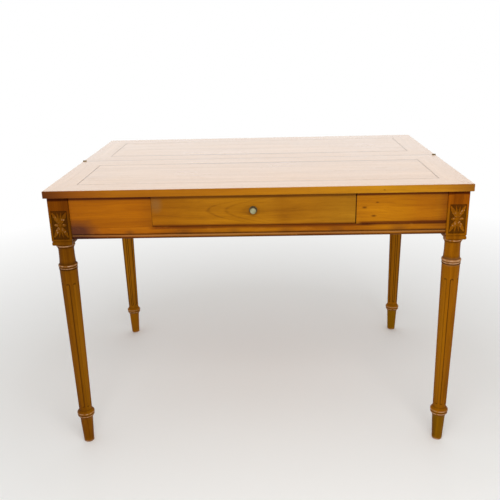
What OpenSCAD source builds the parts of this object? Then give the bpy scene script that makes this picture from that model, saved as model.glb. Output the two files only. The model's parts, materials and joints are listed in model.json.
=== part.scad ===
// Games table with a folding top, a frieze drawer and folding sides, shown open.

/* [Top] */
// Width of the top from side to side
top_w = 1100; // [900:5:1200]
// Depth of one leaf, front to back
leaf_d = 400; // [340:5:440]
// Thickness of each leaf
leaf_t = 19.5; // [14:0.5:25]
// Height of the top surface above the floor
top_h = 770; // [700:5:800]
// Width of the mitred border round each leaf
border_w = 72; // [40:1:90]
// Width of the thin line between board and border
line_w = 1.6; // [1:0.1:3]
// Depth of the thin line
line_d = 2.5; // [1:0.1:4]
// Gap between the two leaves at the seam
seam_gap = 0.4; // [0.2:0.1:1]
// Chamfer on the outer arrises of the top
edge_ease = 1.2; // [0.5:0.1:3]

/* [Leaf hinges] */
// Height of the hinge axis above the top surface
axis_lift = 0.15; // [0.1:0.05:0.5]
// Radius of the leaf hinge barrel
leaf_barrel_r = 2.6; // [2:0.1:4]
// Radius of the leaf hinge pin
leaf_pin_r = 1.2; // [0.8:0.1:2]
// Length of each hinge plate along the edge
leaf_plate_len = 62; // [40:1:90]
// Width of each hinge plate
leaf_plate_w = 11; // [8:0.5:14]
// Thickness of each hinge plate
leaf_plate_t = 2.5; // [1.5:0.1:4]
// Distance from the top surface down to the plate
leaf_plate_drop = 4; // [3:0.5:6]
// Length of the whole hinge barrel along the axis
leaf_barrel_len = 11; // [9:0.5:14]
// Length of the thickened end of each plate
leaf_lug_len = 12; // [8:1:20]
// Distance from the seam to the thickened end
leaf_lug_start = 4; // [3.5:0.5:8]
// Height of the webs that carry the knuckles
leaf_web_h = 6.8; // [4:0.1:8]
// Distance from the top surface down to the webs
leaf_web_drop = 1.2; // [0.8:0.1:2]
// Gap between two leaf hinge knuckles
leaf_knuckle_gap = 0.2; // [0.1:0.05:0.5]
// Gap between the leaf hinge barrel and the wood
leaf_barrel_gap = 0.3; // [0.2:0.05:0.8]

/* [Legs] */
// Side of the square corner block
block_w = 54; // [40:1:70]
// Height of the corner block
block_h = 131; // [110:1:160]
// Overhang of the top beyond the blocks at each side
side_over = 7; // [2:1:30]
// Overhang of the top beyond the front blocks
front_over = 9; // [2:1:30]
// Overhang of the top beyond the rear blocks when open
rear_over = 4; // [1:1:30]
// Height of the turned ring under the block
ring_h = 8; // [5:0.5:12]
// Radius of the turned ring under the block
ring_r = 25.2; // [20:0.1:27]
// Radius of the neck where it is thinnest
neck_r = 20.8; // [16:0.1:24]
// Radius of the neck just above the upper collar
neck_low_r = 22; // [17:0.1:25]
// Height of the flare between neck and ring
flare_h = 6; // [3:0.5:10]
// Widening of the neck at that flare
flare_w = 2; // [0.5:0.1:4]
// Height of the neck's wider stretch above the upper collar
neck_low_h = 20; // [8:1:30]
// Height above the floor where the upper collar's two beads meet
collar_z = 555; // [500:1:570]
// Radius of the upper collar
collar_r = 26; // [23:0.1:27]
// Radius of the round edge of its upper bead
collar_tube = 3.8; // [2:0.1:5]
// Radius of the round edge of its lower bead
collar_low_tube = 2.8; // [2:0.1:4]
// Step in from the upper bead of a collar to the lower one
bead_step = 1; // [0:0.1:2]
// Height of the fillets above and below the upper collar
fillet_h = 2.2; // [1:0.1:4]
// How far those fillets stand out
fillet_out = 1; // [0.4:0.1:1.5]
// Radius of the shaft under the upper collar
shaft_top_r = 24; // [18:0.1:26]
// Radius of the shaft above the lower collar
shaft_low_r = 18.4; // [12:0.1:22]
// Height above the floor where the lower collar's two beads meet
ankle_z = 93; // [60:1:100]
// Radius of the lower collar
ankle_r = 25; // [24.5:0.1:27]
// Radius of the round edge of its upper bead
ankle_tube = 5; // [3:0.1:6]
// Radius of the round edge of its lower bead
ankle_low_tube = 3.4; // [2:0.1:4]
// Height of the sloping shoulder from the upper bead's middle to the shaft
shoulder_h = 12; // [8:0.5:16]
// How much wider than the shaft the shoulder starts
shoulder_w = 6; // [3:0.1:6]
// Height of the cove between the lower bead and the foot
cove_h = 8; // [4:0.5:14]
// How much wider than the foot the cove ends
cove_w = 4; // [1:0.1:5]
// Radius of the foot under the lower collar
foot_top_r = 18; // [12:0.1:20]
// Radius of the foot on the floor
foot_r = 14.3; // [8:0.1:18]
// Chamfer round the bottom of the foot
foot_ease = 1; // [0.5:0.1:3]

/* [Flutes] */
// Number of flutes round the shaft
flutes = 8; // [6:1:12]
// Height of the flutes' upper ends
flute_top_z = 503; // [400:1:530]
// Height of the flutes' lower ends
flute_low_z = 124; // [110:1:200]
// Radius of the flute cutter at the top
flute_top_r = 7.5; // [4:0.1:10]
// Radius of the flute cutter at the bottom
flute_low_r = 5.6; // [3:0.1:8]
// Depth of the flutes at the top
flute_top_d = 3; // [1:0.1:5]
// Depth of the flutes at the bottom
flute_low_d = 2.3; // [1:0.1:4]

/* [Carved panel] */
// Width of the sunk panel in the block
panel_w = 42; // [30:0.5:48]
// Height of the sunk panel
panel_h = 78; // [50:1:100]
// Depth of the sunk panel
panel_d = 3; // [1:0.1:5]
// Distance from the block's bottom to the sunk panel
panel_up = 17.5; // [10:0.5:40]
// Height of the moulded band's line above the block's bottom
band_up = 11.5; // [8:0.5:15]
// Width and depth of that line
band_line = 1.4; // [0.8:0.1:3]
// Radius of the centre button
button_r = 6.4; // [4:0.1:9]
// Height of the button's upright side
button_side = 1.8; // [1:0.1:2.4]
// Slope inwards of the button's edge
button_ease = 1.4; // [0.5:0.1:2]
// Radius of the dimple in the button
dimple_r = 2.6; // [1:0.1:4]
// Length of the four corner leaves
corner_leaf_len = 34; // [20:0.5:44]
// Width of the four corner leaves
corner_leaf_w = 11; // [6:0.5:16]
// Angle of the corner leaves from upright
corner_leaf_ang = 26; // [20:1:45]
// Length of the upper and lower leaves
mid_leaf_len = 28; // [15:0.5:34]
// Width of the upper and lower leaves
mid_leaf_w = 7; // [4:0.5:12]
// Length of the side buds
bud_len = 12; // [6:0.5:14]
// Width of the side buds
bud_w = 8; // [4:0.5:12]
// Height of the corner leaves and the side buds
corner_leaf_h = 2.5; // [1.5:0.1:2.9]
// Height of the upper and lower leaves
mid_leaf_h = 1.8; // [1.4:0.1:2.9]
// Height of every leaf's edge
leaf_edge_h = 1; // [0.4:0.1:1.2]
// How far the leaves run in under the button
leaf_tuck = 1.5; // [1:0.1:3]
// Width of the vein cut in each leaf
vein_w = 1.2; // [0.6:0.1:3]
// Depth of that vein
vein_d = 0.8; // [0.3:0.1:1]
// Distance of the vein's ends from the leaf's ends
vein_in = 3; // [2:0.5:4]

/* [Frieze] */
// Height of the frieze from the underside of the top
apron_h = 116; // [80:1:140]
// Distance from the block's face back to the frieze
apron_recess = 5; // [1:0.5:12]
// Thickness of the front and rear frieze
apron_t = 20; // [14:1:28]
// Thickness of the side boards
side_t = 18; // [14:1:24]
// Height of the rail under the drawer
rail_h = 32.5; // [20:0.5:40]
// Depth of that rail, front to back
rail_d = 45; // [25:1:70]
// Diameter of the bead on the lower edge
bead_d = 12; // [6:0.5:14]
// Width of the quirk above the bead
quirk_w = 1.6; // [0.8:0.1:2]
// Height of the carcass back rail
back_rail_h = 96; // [60:1:112]
// Thickness of the carcass back rail
back_rail_t = 18; // [12:1:24]
// Distance from the side hinge pins to the back rail
back_rail_gap = 4.6; // [4:0.1:10]
// Lowering of the rear frame and sides under the top
slide_gap = 0.2; // [0.1:0.05:1]
// Side of the glue blocks
glue_w = 24; // [12:1:30]
// Height of the glue blocks
glue_h = 60; // [20:1:80]

/* [Drawer] */
// Width of the drawer front
drawer_w = 528; // [400:1:640]
// Shift of the drawer from the middle of the table
drawer_shift = -9.5; // [-20:0.5:20]
// Gap at the drawer's left side
drawer_gap = 0.6; // [0.4:0.1:2]
// Gap at the drawer's right side
drawer_gap_right = 2.6; // [0.4:0.1:4]
// Gap under the drawer front
drawer_low_gap = 1.2; // [0.5:0.1:3]
// Gap over the drawer front
drawer_top_gap = 2.5; // [0.5:0.1:4]
// Space left behind the closed drawer
drawer_back_gap = 10; // [4:1:60]
// Height of the drawer sides
drawer_side_h = 65; // [40:1:68]
// Thickness of the drawer sides
drawer_side_t = 10; // [7:0.5:14]
// Thickness of the drawer back
drawer_back_t = 9; // [6:0.5:12]
// Thickness of the drawer bottom
drawer_bottom_t = 6; // [4:0.5:9]
// Height of the drawer bottom above the sides' lower edge
drawer_bottom_up = 5; // [3:0.5:12]
// Depth of the grooves for the drawer bottom
groove_d = 4; // [2:0.5:6]
// Running gap between drawer and runners
run_gap = 0.2; // [0.1:0.05:0.5]
// Height of the runners
runner_h = 19; // [10:1:25]
// Height of the drawer guides above the runners
guide_h = 22; // [10:1:40]
// Distance of the runners and kickers each way from the drawer's edge
runner_half = 15; // [10:1:25]
// Gap between the drawer front and the kickers
kicker_gap = 0.5; // [0.3:0.1:2]
// Height of the kickers
kicker_h = 16; // [8:0.5:17]

/* [Knob] */
// Radius of the knob's head
knob_r = 8; // [5:0.5:12]
// Thickness of the knob's head
knob_head = 6; // [3:0.5:9]
// How far the knob stands out in all
knob_len = 13.4; // [8:0.1:14]
// Radius of the flat on the knob's head
knob_top_r = 5.6; // [3:0.1:7]
// Radius of the knob's neck
knob_neck_r = 3.6; // [2.5:0.1:5]
// Radius of the neck's foot on the rose
knob_foot_r = 4.8; // [3:0.1:6]
// Height of that foot
knob_foot_h = 2; // [1:0.1:3]
// Radius of the round rose behind the knob
rose_r = 10.5; // [7:0.5:16]
// Thickness of the rose
rose_t = 1.6; // [1:0.1:3]
// Slope inwards of the rose's edge
rose_ease = 1; // [0.2:0.1:2]
// Radius of the knob's stem in the drawer front
stem_r = 2; // [1.5:0.1:3]
// Length of that stem
stem_len = 16; // [8:1:19]

/* [Side hinges] */
// Length of one folding board from pin to pin
fold_s = 220; // [150:1:230]
// Height of each side hinge
hinge_h = 76; // [40:1:90]
// Radius of the hinge barrels
barrel_r = 3.2; // [2.5:0.1:4]
// Radius of the wood cut away round a barrel
barrel_cut_r = 3.6; // [3:0.1:5]
// Radius of the side hinge pins
pin_r = 1.5; // [1:0.1:2]
// Radial clearance of a turning knuckle on its pin
pin_gap = 0.06; // [0.02:0.01:0.1]
// Thickness of the hinge plates
plate_t = 1.5; // [1:0.1:2.5]
// Width of the hinge plates
plate_w = 14; // [9:0.5:16]
// Gap between two knuckles
knuckle_gap = 0.3; // [0.2:0.1:0.6]
// Gap between the ends of two boards
board_gap = 0.8; // [0.4:0.1:2]
// Distance of the middle pins outside the boards' outer faces
pin_out = 0.2; // [0:0.05:0.5]

/* [Hidden] */
$fn = 48;
eps = 0.01;
over = 1;
lap = 0.6;
half_w = top_w / 2;
leaf_low = top_h - leaf_t;
rear_top = leaf_low - slide_gap;
apron_low = leaf_low - apron_h;
block_low = leaf_low - block_h;
leg_x = half_w - side_over - block_w / 2;
leg_yf = front_over + block_w / 2 - leaf_d;
leg_yr = leaf_d - rear_over - block_w / 2;
block_in = leg_x - block_w / 2;
face_yf = leg_yf - block_w / 2 + apron_recess;
face_yr = leg_yr + block_w / 2 - apron_recess;
side_out = leg_x + block_w / 2 - apron_recess;
side_in = side_out - side_t;
pin_yb = leg_yr - block_w / 2 - board_gap / 2;
pin_ym = pin_yb - fold_s;
pin_ya = pin_ym - fold_s;
mid_pin_x = side_out + pin_out;
back_rail_y = pin_ya - back_rail_gap - back_rail_t;
hinge_low = (leaf_low + apron_low - hinge_h) / 2;
knuckle_h = (hinge_h - 2 * knuckle_gap) / 3;
knuckle_step = knuckle_h + knuckle_gap;
rail_top = apron_low + rail_h;
open_x0 = drawer_shift - drawer_w / 2 - drawer_gap;
open_x1 = drawer_shift + drawer_w / 2 + drawer_gap_right;
drawer_x0 = drawer_shift - drawer_w / 2;
drawer_z = rail_top + drawer_low_gap;
drawer_hgt = leaf_low - drawer_top_gap - drawer_z;
side_z = drawer_z + run_gap;
side_y = face_yf + apron_t;
drawer_side_len = back_rail_y - side_y - drawer_back_gap;
bottom_z = side_z + drawer_bottom_up;
knob_z = drawer_z + drawer_hgt / 2;
panel_z = block_low + panel_up + panel_h / 2;
flare_z = block_low - ring_h - flare_h;
neck_z = collar_z + 2 * collar_tube + fillet_h;
shaft_end = collar_z - 2 * collar_low_tube - fillet_h;
shaft_z = ankle_z + ankle_tube + shoulder_h;
shaft_taper = (shaft_top_r - shaft_low_r) / (shaft_end - shaft_z);
foot_z = ankle_z - 2 * ankle_low_tube - cove_h;
leaf_axis_z = top_h + axis_lift;
leaf_x0 = half_w - leaf_barrel_len;
leaf_knuckle = (leaf_barrel_len - 2 * leaf_knuckle_gap) / 3;
leaf_step = leaf_knuckle + leaf_knuckle_gap;
plate_top = top_h - leaf_plate_drop;
fixed_webs = [0, 2 * leaf_step];
moving_webs = [leaf_step];
outer_y = -leaf_d;
seam_y = -seam_gap / 2;
board_x1 = half_w - border_w;
board_y0 = border_w - leaf_d;
board_y1 = seam_y - border_w;
board_x = 2 * board_x1;
board_y = board_y1 - board_y0;
bottom_half = drawer_w / 2 - drawer_side_t + groove_d;
walnut = [0.50, 0.27, 0.09];
walnut_dark = [0.36, 0.19, 0.08];
walnut_pale = [0.62, 0.38, 0.15];
line_black = [0.14, 0.08, 0.05];
fir = [0.72, 0.56, 0.34];
brass = [0.74, 0.66, 0.38];

// A pointed leaf with a rounded back and a vein, lying along +Y from the origin.
module carved_leaf(len, wid, hgt) {
  arc_r = (len * len + wid * wid) / (4 * wid);
  drop = hgt - leaf_edge_h;
  back_r = (wid * wid / 4 + drop * drop) / (2 * drop);
  difference() {
    intersection() {
      linear_extrude(height = hgt)
        intersection() {
          translate([arc_r - wid / 2, len / 2]) circle(r = arc_r);
          translate([wid / 2 - arc_r, len / 2]) circle(r = arc_r);
        }
      translate([0, 0, hgt - back_r]) rotate([-90, 0, 0]) cylinder(r = back_r, h = len);
    }
    translate([-vein_w / 2, vein_in, hgt - vein_d]) cube([vein_w, len - 2 * vein_in, vein_d + eps]);
  }
}

// A carved leaf that starts under the button and points away from it at an angle.
module set_leaf(ang, len, wid, hgt) {
  rotate([0, 0, ang]) translate([0, button_r - leaf_tuck, 0]) carved_leaf(len, wid, hgt);
}

// The flower that fills the sunk panel: button, corner leaves, upright leaves and side buds.
module rosette() {
  difference() {
    union() {
      cylinder(r = button_r, h = button_side);
      translate([0, 0, button_side])
        cylinder(r1 = button_r, r2 = button_r - button_ease, h = panel_d - button_side);
    }
    translate([0, 0, panel_d + dimple_r / 2]) sphere(r = dimple_r);
  }
  for (turn = [0, 180]) {
    set_leaf(turn - corner_leaf_ang, corner_leaf_len, corner_leaf_w, corner_leaf_h);
    set_leaf(turn + corner_leaf_ang, corner_leaf_len, corner_leaf_w, corner_leaf_h);
    set_leaf(turn, mid_leaf_len, mid_leaf_w, mid_leaf_h);
    set_leaf(turn + 90, bud_len, bud_w, corner_leaf_h);
  }
}

// What is cut away from the front (-Y) face of a block that stands on the origin's axis.
module carving() {
  difference() {
    translate([-panel_w / 2, -block_w / 2 - eps, panel_z - panel_h / 2])
      cube([panel_w, panel_d + eps, panel_h]);
    translate([0, panel_d - block_w / 2, panel_z]) rotate([90, 0, 0]) rosette();
  }
  translate([-block_w / 2 - eps, -block_w / 2 - eps, block_low + band_up])
    cube([block_w + 2 * eps, band_line + eps, band_line]);
}

// A ring with a half-round edge of radius r, its tube radius t, at height z.
module ring(r, t, z) {
  translate([0, 0, z]) rotate_extrude() translate([r - t, 0]) circle(r = t);
  translate([0, 0, z - t]) cylinder(r = r - t, h = 2 * t);
}

// Two such rings that meet at height z, the upper with tube radius t1, the lower with t2.
module beads(r, t1, t2, z) {
  ring(r, t1, z + t1 - lap / 2);
  ring(r - bead_step, t2, z - t2 + lap / 2);
}

function shaft_r(z) = shaft_low_r + shaft_taper * (z - shaft_z);

// One flute: a tapering round cutter with round ends, tilted along the shaft.
module flute() {
  out_top = shaft_r(flute_top_z) + flute_top_r - flute_top_d;
  out_low = shaft_r(flute_low_z) + flute_low_r - flute_low_d;
  rise = flute_top_z - flute_low_z;
  lean = atan((out_top - out_low) / rise);
  translate([out_low, 0, flute_low_z]) rotate([0, lean, 0])
    cylinder(r1 = flute_low_r, r2 = flute_top_r, h = rise / cos(lean));
  translate([out_low, 0, flute_low_z]) sphere(r = flute_low_r);
  translate([out_top, 0, flute_top_z]) sphere(r = flute_top_r);
}

// A leg on the origin's axis; its block's front and left faces are carved.
module leg(top) {
  difference() {
    translate([-block_w / 2, -block_w / 2, block_low]) cube([block_w, block_w, top - block_low]);
    carving();
    rotate([0, 0, -90]) carving();
  }
  ring(ring_r, ring_h / 2, block_low - ring_h / 2);
  translate([0, 0, flare_z]) cylinder(r1 = neck_r, r2 = neck_r + flare_w, h = flare_h + lap);
  translate([0, 0, neck_z + neck_low_h - eps])
    cylinder(r = neck_r, h = flare_z - neck_z - neck_low_h + 2 * eps);
  translate([0, 0, neck_z - eps]) cylinder(r1 = neck_low_r, r2 = neck_r, h = neck_low_h + eps);
  translate([0, 0, neck_z - fillet_h - lap]) cylinder(r = neck_low_r + fillet_out, h = fillet_h + lap);
  beads(collar_r, collar_tube, collar_low_tube, collar_z);
  translate([0, 0, shaft_end]) cylinder(r = shaft_top_r + fillet_out, h = fillet_h + lap);
  difference() {
    translate([0, 0, shaft_z]) cylinder(r1 = shaft_low_r, r2 = shaft_top_r, h = shaft_end - shaft_z + eps);
    for (i = [0 : flutes - 1]) rotate([0, 0, i * 360 / flutes - 90]) flute();
  }
  translate([0, 0, ankle_z + ankle_tube])
    cylinder(r1 = shaft_low_r + shoulder_w, r2 = shaft_low_r, h = shoulder_h + eps);
  beads(ankle_r, ankle_tube, ankle_low_tube, ankle_z);
  translate([0, 0, foot_z]) cylinder(r1 = foot_top_r, r2 = foot_top_r + cove_w, h = cove_h + lap);
  translate([0, 0, foot_ease]) cylinder(r1 = foot_r, r2 = foot_top_r, h = foot_z - foot_ease + eps);
  cylinder(r1 = foot_r - foot_ease, r2 = foot_r, h = foot_ease + eps);
}

// A board along +X with its face to -Y and a bead worked on the face's lower edge.
module bead_board(len, thick, hgt) {
  cut_h = bead_d + quirk_w;
  difference() {
    cube([len, thick, hgt]);
    translate([-eps, -eps, -eps]) cube([len + 2 * eps, bead_d / 2 + eps, cut_h + eps]);
  }
  translate([0, bead_d / 2, bead_d / 2]) rotate([0, 90, 0]) cylinder(r = bead_d / 2, h = len);
}

// A side board on the right, from y0 to y1 with its face to +X.
module side_board(y0, y1, top) {
  translate([side_out, y0, apron_low]) rotate([0, 0, 90]) bead_board(y1 - y0, side_t, top - apron_low);
}

// Half of a side hinge on the -Y side of the origin, its plate running to +X.
module hinge_half(outer) {
  plate_y = -board_gap / 2 - plate_t;
  difference() {
    union() {
      translate([barrel_cut_r, plate_y, hinge_low]) cube([plate_w - barrel_cut_r, plate_t, hinge_h]);
      for (k = outer ? [0, 2] : [1]) {
        translate([0, 0, hinge_low + k * knuckle_step]) {
          cylinder(r = barrel_r, h = knuckle_h);
          translate([0, plate_y, 0]) cube([barrel_cut_r + eps, plate_t, knuckle_h]);
        }
      }
    }
    translate([0, 0, hinge_low - eps])
      cylinder(r = outer ? pin_r : pin_r + pin_gap, h = hinge_h + 2 * eps);
  }
}

// The wood that makes room for such a half.
module hinge_room() {
  translate([0, 0, hinge_low - knuckle_gap]) cylinder(r = barrel_cut_r, h = hinge_h + 2 * knuckle_gap);
  translate([0, -board_gap / 2 - plate_t, hinge_low]) cube([plate_w, plate_t + eps, hinge_h]);
}

module hinge_pin() {
  translate([0, 0, hinge_low]) cylinder(r = pin_r, h = hinge_h);
}

// The three pin places on the right side.
module at_a() {
  translate([side_in, pin_ya, 0]) children();
}
module at_m() {
  translate([mid_pin_x, pin_ym, 0]) mirror([1, 0, 0]) children();
}
module at_b() {
  translate([side_in, pin_yb, 0]) children();
}
module flip_y() {
  mirror([0, 1, 0]) children();
}
module flip_x() {
  mirror([1, 0, 0]) children();
}

module fixed_side() {
  difference() {
    side_board(leg_yf + block_w / 2, pin_ya - board_gap / 2, leaf_low);
    at_a() hinge_room();
  }
}
module fold_a() {
  difference() {
    side_board(pin_ya + board_gap / 2, pin_ym - board_gap / 2, rear_top);
    at_a() flip_y() hinge_room();
    at_m() hinge_room();
  }
}
module fold_b() {
  difference() {
    side_board(pin_ym + board_gap / 2, pin_yb - board_gap / 2, rear_top);
    at_m() flip_y() hinge_room();
    at_b() hinge_room();
  }
}
module fold_a_hinges() {
  at_a() flip_y() hinge_half(false);
  at_m() hinge_half(true);
}
module fold_b_hinges() {
  at_m() flip_y() hinge_half(false);
  at_b() hinge_half(false);
}
module rear_leg() {
  difference() {
    translate([leg_x, leg_yr, 0]) rotate([0, 0, 180]) leg(rear_top);
    at_b() flip_y() hinge_room();
  }
}

// The plate, thick end and webs of a leaf hinge half on the -Y side at the right end.
// The webs start at the distances in webs; more is added at the outer face.
module leaf_hinge_body(webs, more) {
  translate([half_w - leaf_plate_t, -leaf_plate_len, plate_top - leaf_plate_w])
    cube([leaf_plate_t + more, leaf_plate_len - leaf_lug_start, leaf_plate_w]);
  translate([leaf_x0 + webs[0], -leaf_lug_start - leaf_lug_len, plate_top - leaf_plate_w])
    cube([leaf_barrel_len - webs[0] + more, leaf_lug_len, leaf_plate_w]);
  for (x = webs) {
    translate([leaf_x0 + x, -leaf_lug_start - eps, top_h - leaf_web_drop - leaf_web_h])
      cube([leaf_knuckle + (x > leaf_step + eps ? more : 0), leaf_lug_start - seam_gap, leaf_web_h]);
  }
}

module leaf_barrel(x, len, r) {
  translate([leaf_x0 + x, 0, leaf_axis_z]) rotate([0, 90, 0]) cylinder(r = r, h = len);
}

module leaf_hinge_half(webs, bore_r) {
  difference() {
    union() {
      leaf_hinge_body(webs, 0);
      for (x = webs) leaf_barrel(x, leaf_knuckle, leaf_barrel_r);
    }
    leaf_barrel(-eps, leaf_barrel_len + 2 * eps, bore_r);
  }
}

// Room in the top for one leaf hinge half at the right end.
module leaf_hinge_room(webs) {
  leaf_barrel(-leaf_knuckle_gap, leaf_barrel_len + 2 * leaf_knuckle_gap, leaf_barrel_r + leaf_barrel_gap);
  leaf_hinge_body(webs, eps);
}

// What is cut off an arris that runs along +X, of wood that lies to +Y of it.
// The wood is below the arris where up is 1, and above it where up is -1.
module arris_cut(len, up) {
  reach = edge_ease + over;
  rotate([90, 0, 90]) linear_extrude(height = len)
    polygon([[-over, -up * reach], [reach, up * over], [-over, up * over]]);
}

// The line between board and border of the front leaf, grown upwards by more.
module line_ring(more) {
  difference() {
    translate([-board_x / 2 - line_w / 2, border_w - leaf_d - line_w / 2, top_h - line_d])
      cube([board_x + line_w, board_y + line_w, line_d + more]);
    translate([line_w / 2 - board_x / 2, border_w - leaf_d + line_w / 2, top_h - line_d - eps])
      cube([board_x - line_w, board_y - line_w, line_d + more + 2 * eps]);
  }
}

// The centre board of the front leaf.
module leaf_board() {
  difference() {
    translate([-board_x / 2, border_w - leaf_d, leaf_low]) cube([board_x, board_y, leaf_t]);
    line_ring(eps);
  }
}

// One border of the front leaf, given by its outline, with room for the line and the hinges.
module border(outline, webs) {
  difference() {
    translate([0, 0, leaf_low]) linear_extrude(height = leaf_t) polygon(outline);
    line_ring(eps);
    leaf_hinge_room(webs);
    flip_x() leaf_hinge_room(webs);
  }
}
module edge_border(webs) {
  difference() {
    border([[-half_w, outer_y], [half_w, outer_y], [board_x1, board_y0], [-board_x1, board_y0]], webs);
    translate([-half_w - over, outer_y, top_h]) arris_cut(top_w + 2 * over, 1);
    translate([-half_w - over, outer_y, leaf_low]) arris_cut(top_w + 2 * over, -1);
  }
}
module seam_border(webs) {
  border([[-half_w, seam_y], [-board_x1, board_y1], [board_x1, board_y1], [half_w, seam_y]], webs);
}
module end_border(webs) {
  difference() {
    border([[half_w, outer_y], [half_w, seam_y], [board_x1, board_y1], [board_x1, board_y0]], webs);
    translate([half_w, outer_y - over, top_h]) rotate([0, 0, 90]) arris_cut(leaf_d + 2 * over, 1);
    translate([half_w, outer_y - over, leaf_low]) rotate([0, 0, 90]) arris_cut(leaf_d + 2 * over, -1);
  }
}

// The drawer's side on the right, with its groove for the bottom.
module drawer_side() {
  difference() {
    translate([drawer_w / 2 - drawer_side_t, side_y, side_z])
      cube([drawer_side_t, drawer_side_len, drawer_side_h]);
    translate([drawer_w / 2 - drawer_side_t - eps, side_y - eps, bottom_z])
      cube([groove_d + eps, drawer_side_len + 2 * eps, drawer_bottom_t]);
  }
}
module glue_block(x, y, top) {
  translate([x - (x > 0 ? glue_w : 0), y, top - glue_h]) cube([glue_w, glue_w, glue_h]);
}

module leg_front_left() {
  color(walnut_dark) translate([-leg_x, leg_yf, 0]) leg(leaf_low);
}
module leg_front_right() {
  color(walnut_dark) flip_x() translate([-leg_x, leg_yf, 0]) leg(leaf_low);
}
module front_rail() {
  color(walnut) translate([-block_in, face_yf, apron_low]) bead_board(2 * block_in, rail_d, rail_h);
}
module frieze_left() {
  color(walnut_pale) translate([-block_in, face_yf, rail_top])
    cube([block_in + open_x0, apron_t, leaf_low - rail_top]);
}
module frieze_right() {
  color(walnut_pale) translate([open_x1, face_yf, rail_top])
    cube([block_in - open_x1, apron_t, leaf_low - rail_top]);
}
module side_left() {
  color(walnut) flip_x() fixed_side();
}
module side_right() {
  color(walnut) fixed_side();
}
module back_rail() {
  color(fir) translate([-side_in, back_rail_y, leaf_low - back_rail_h])
    cube([2 * side_in, back_rail_t, back_rail_h]);
}
module runner(x) {
  color(fir) translate([x - runner_half, face_yf + rail_d, drawer_z - runner_h])
    cube([2 * runner_half, back_rail_y - face_yf - rail_d, runner_h]);
}
module guide(x) {
  color(fir) translate([x, face_yf + rail_d, drawer_z])
    cube([runner_half, back_rail_y - face_yf - rail_d, guide_h]);
}
module kicker(x) {
  color(fir) translate([x - runner_half, side_y + kicker_gap, leaf_low - kicker_h])
    cube([2 * runner_half, back_rail_y - side_y - kicker_gap, kicker_h]);
}
module runner_left() {
  runner(open_x0);
}
module runner_right() {
  runner(open_x1);
}
module guide_left() {
  guide(open_x0 - runner_half);
}
module guide_right() {
  guide(drawer_x0 + drawer_w + drawer_gap);
}
module kicker_left() {
  kicker(open_x0);
}
module kicker_right() {
  kicker(open_x1);
}
module glue_blocks() {
  color(fir) for (s = [-1, 1]) {
    glue_block(s * block_in, side_y, leaf_low);
    glue_block(s * side_in, back_rail_y - glue_w, leaf_low);
  }
}

module top_board_front() {
  color(walnut) leaf_board();
}
module top_edge_front() {
  color(walnut) edge_border(fixed_webs);
}
module top_seam_front() {
  color(walnut) seam_border(fixed_webs);
}
module top_left_front() {
  color(walnut) flip_x() end_border(fixed_webs);
}
module top_right_front() {
  color(walnut) end_border(fixed_webs);
}
module line_front() {
  color(line_black) line_ring(0);
}
module leaf_hinges_fixed() {
  color(brass) {
    leaf_hinge_half(fixed_webs, leaf_pin_r);
    flip_x() leaf_hinge_half(fixed_webs, leaf_pin_r);
  }
}
module leaf_pins() {
  color(brass) {
    leaf_barrel(0, leaf_barrel_len, leaf_pin_r);
    flip_x() leaf_barrel(0, leaf_barrel_len, leaf_pin_r);
  }
}
module top_board_rear() {
  color(walnut) flip_y() leaf_board();
}
module top_edge_rear() {
  color(walnut) flip_y() edge_border(moving_webs);
}
module top_seam_rear() {
  color(walnut) flip_y() seam_border(moving_webs);
}
module top_left_rear() {
  color(walnut) flip_y() flip_x() end_border(moving_webs);
}
module top_right_rear() {
  color(walnut) flip_y() end_border(moving_webs);
}
module line_rear() {
  color(line_black) flip_y() line_ring(0);
}
module leaf_hinges_moving() {
  color(brass) flip_y() {
    leaf_hinge_half(moving_webs, leaf_pin_r + pin_gap);
    flip_x() leaf_hinge_half(moving_webs, leaf_pin_r + pin_gap);
  }
}

module drawer_front() {
  color(walnut) difference() {
    translate([drawer_x0, face_yf, drawer_z]) cube([drawer_w, apron_t, drawer_hgt]);
    translate([drawer_shift - bottom_half, side_y - groove_d, bottom_z])
      cube([2 * bottom_half, groove_d + eps, drawer_bottom_t]);
    translate([drawer_shift, face_yf - eps, knob_z]) rotate([-90, 0, 0])
      cylinder(r = stem_r, h = stem_len + eps);
  }
}
module drawer_side_left() {
  color(fir) translate([drawer_shift, 0, 0]) flip_x() drawer_side();
}
module drawer_side_right() {
  color(fir) translate([drawer_shift, 0, 0]) drawer_side();
}
module drawer_back() {
  color(fir) translate([drawer_x0 + drawer_side_t, side_y + drawer_side_len - drawer_back_t,
      bottom_z + drawer_bottom_t])
    cube([drawer_w - 2 * drawer_side_t, drawer_back_t,
      drawer_side_h - drawer_bottom_up - drawer_bottom_t]);
}
module drawer_bottom() {
  color(fir) translate([drawer_shift - bottom_half, side_y - groove_d, bottom_z])
    cube([2 * bottom_half, drawer_side_len + groove_d, drawer_bottom_t]);
}
module knob() {
  neck_up = rose_t + knob_foot_h;
  head_up = knob_len - knob_head;
  third = knob_head / 3;
  color(brass) translate([drawer_shift, face_yf, knob_z]) rotate([90, 0, 0]) {
    translate([0, 0, -stem_len]) cylinder(r = stem_r, h = stem_len + rose_t + eps);
    translate([0, 0, rose_t]) cylinder(r1 = knob_foot_r, r2 = knob_neck_r, h = knob_foot_h + eps);
    translate([0, 0, neck_up]) cylinder(r = knob_neck_r, h = head_up - neck_up + eps);
    translate([0, 0, head_up]) cylinder(r1 = knob_neck_r, r2 = knob_r, h = third + eps);
    translate([0, 0, head_up + third]) cylinder(r = knob_r, h = third + eps);
    translate([0, 0, head_up + 2 * third]) cylinder(r1 = knob_r, r2 = knob_top_r, h = third);
  }
}
module knob_rose() {
  color(brass) translate([drawer_shift, face_yf, knob_z]) rotate([90, 0, 0]) difference() {
    cylinder(r1 = rose_r, r2 = rose_r - rose_ease, h = rose_t);
    translate([0, 0, -eps]) cylinder(r = stem_r, h = rose_t + 2 * eps);
  }
}

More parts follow.
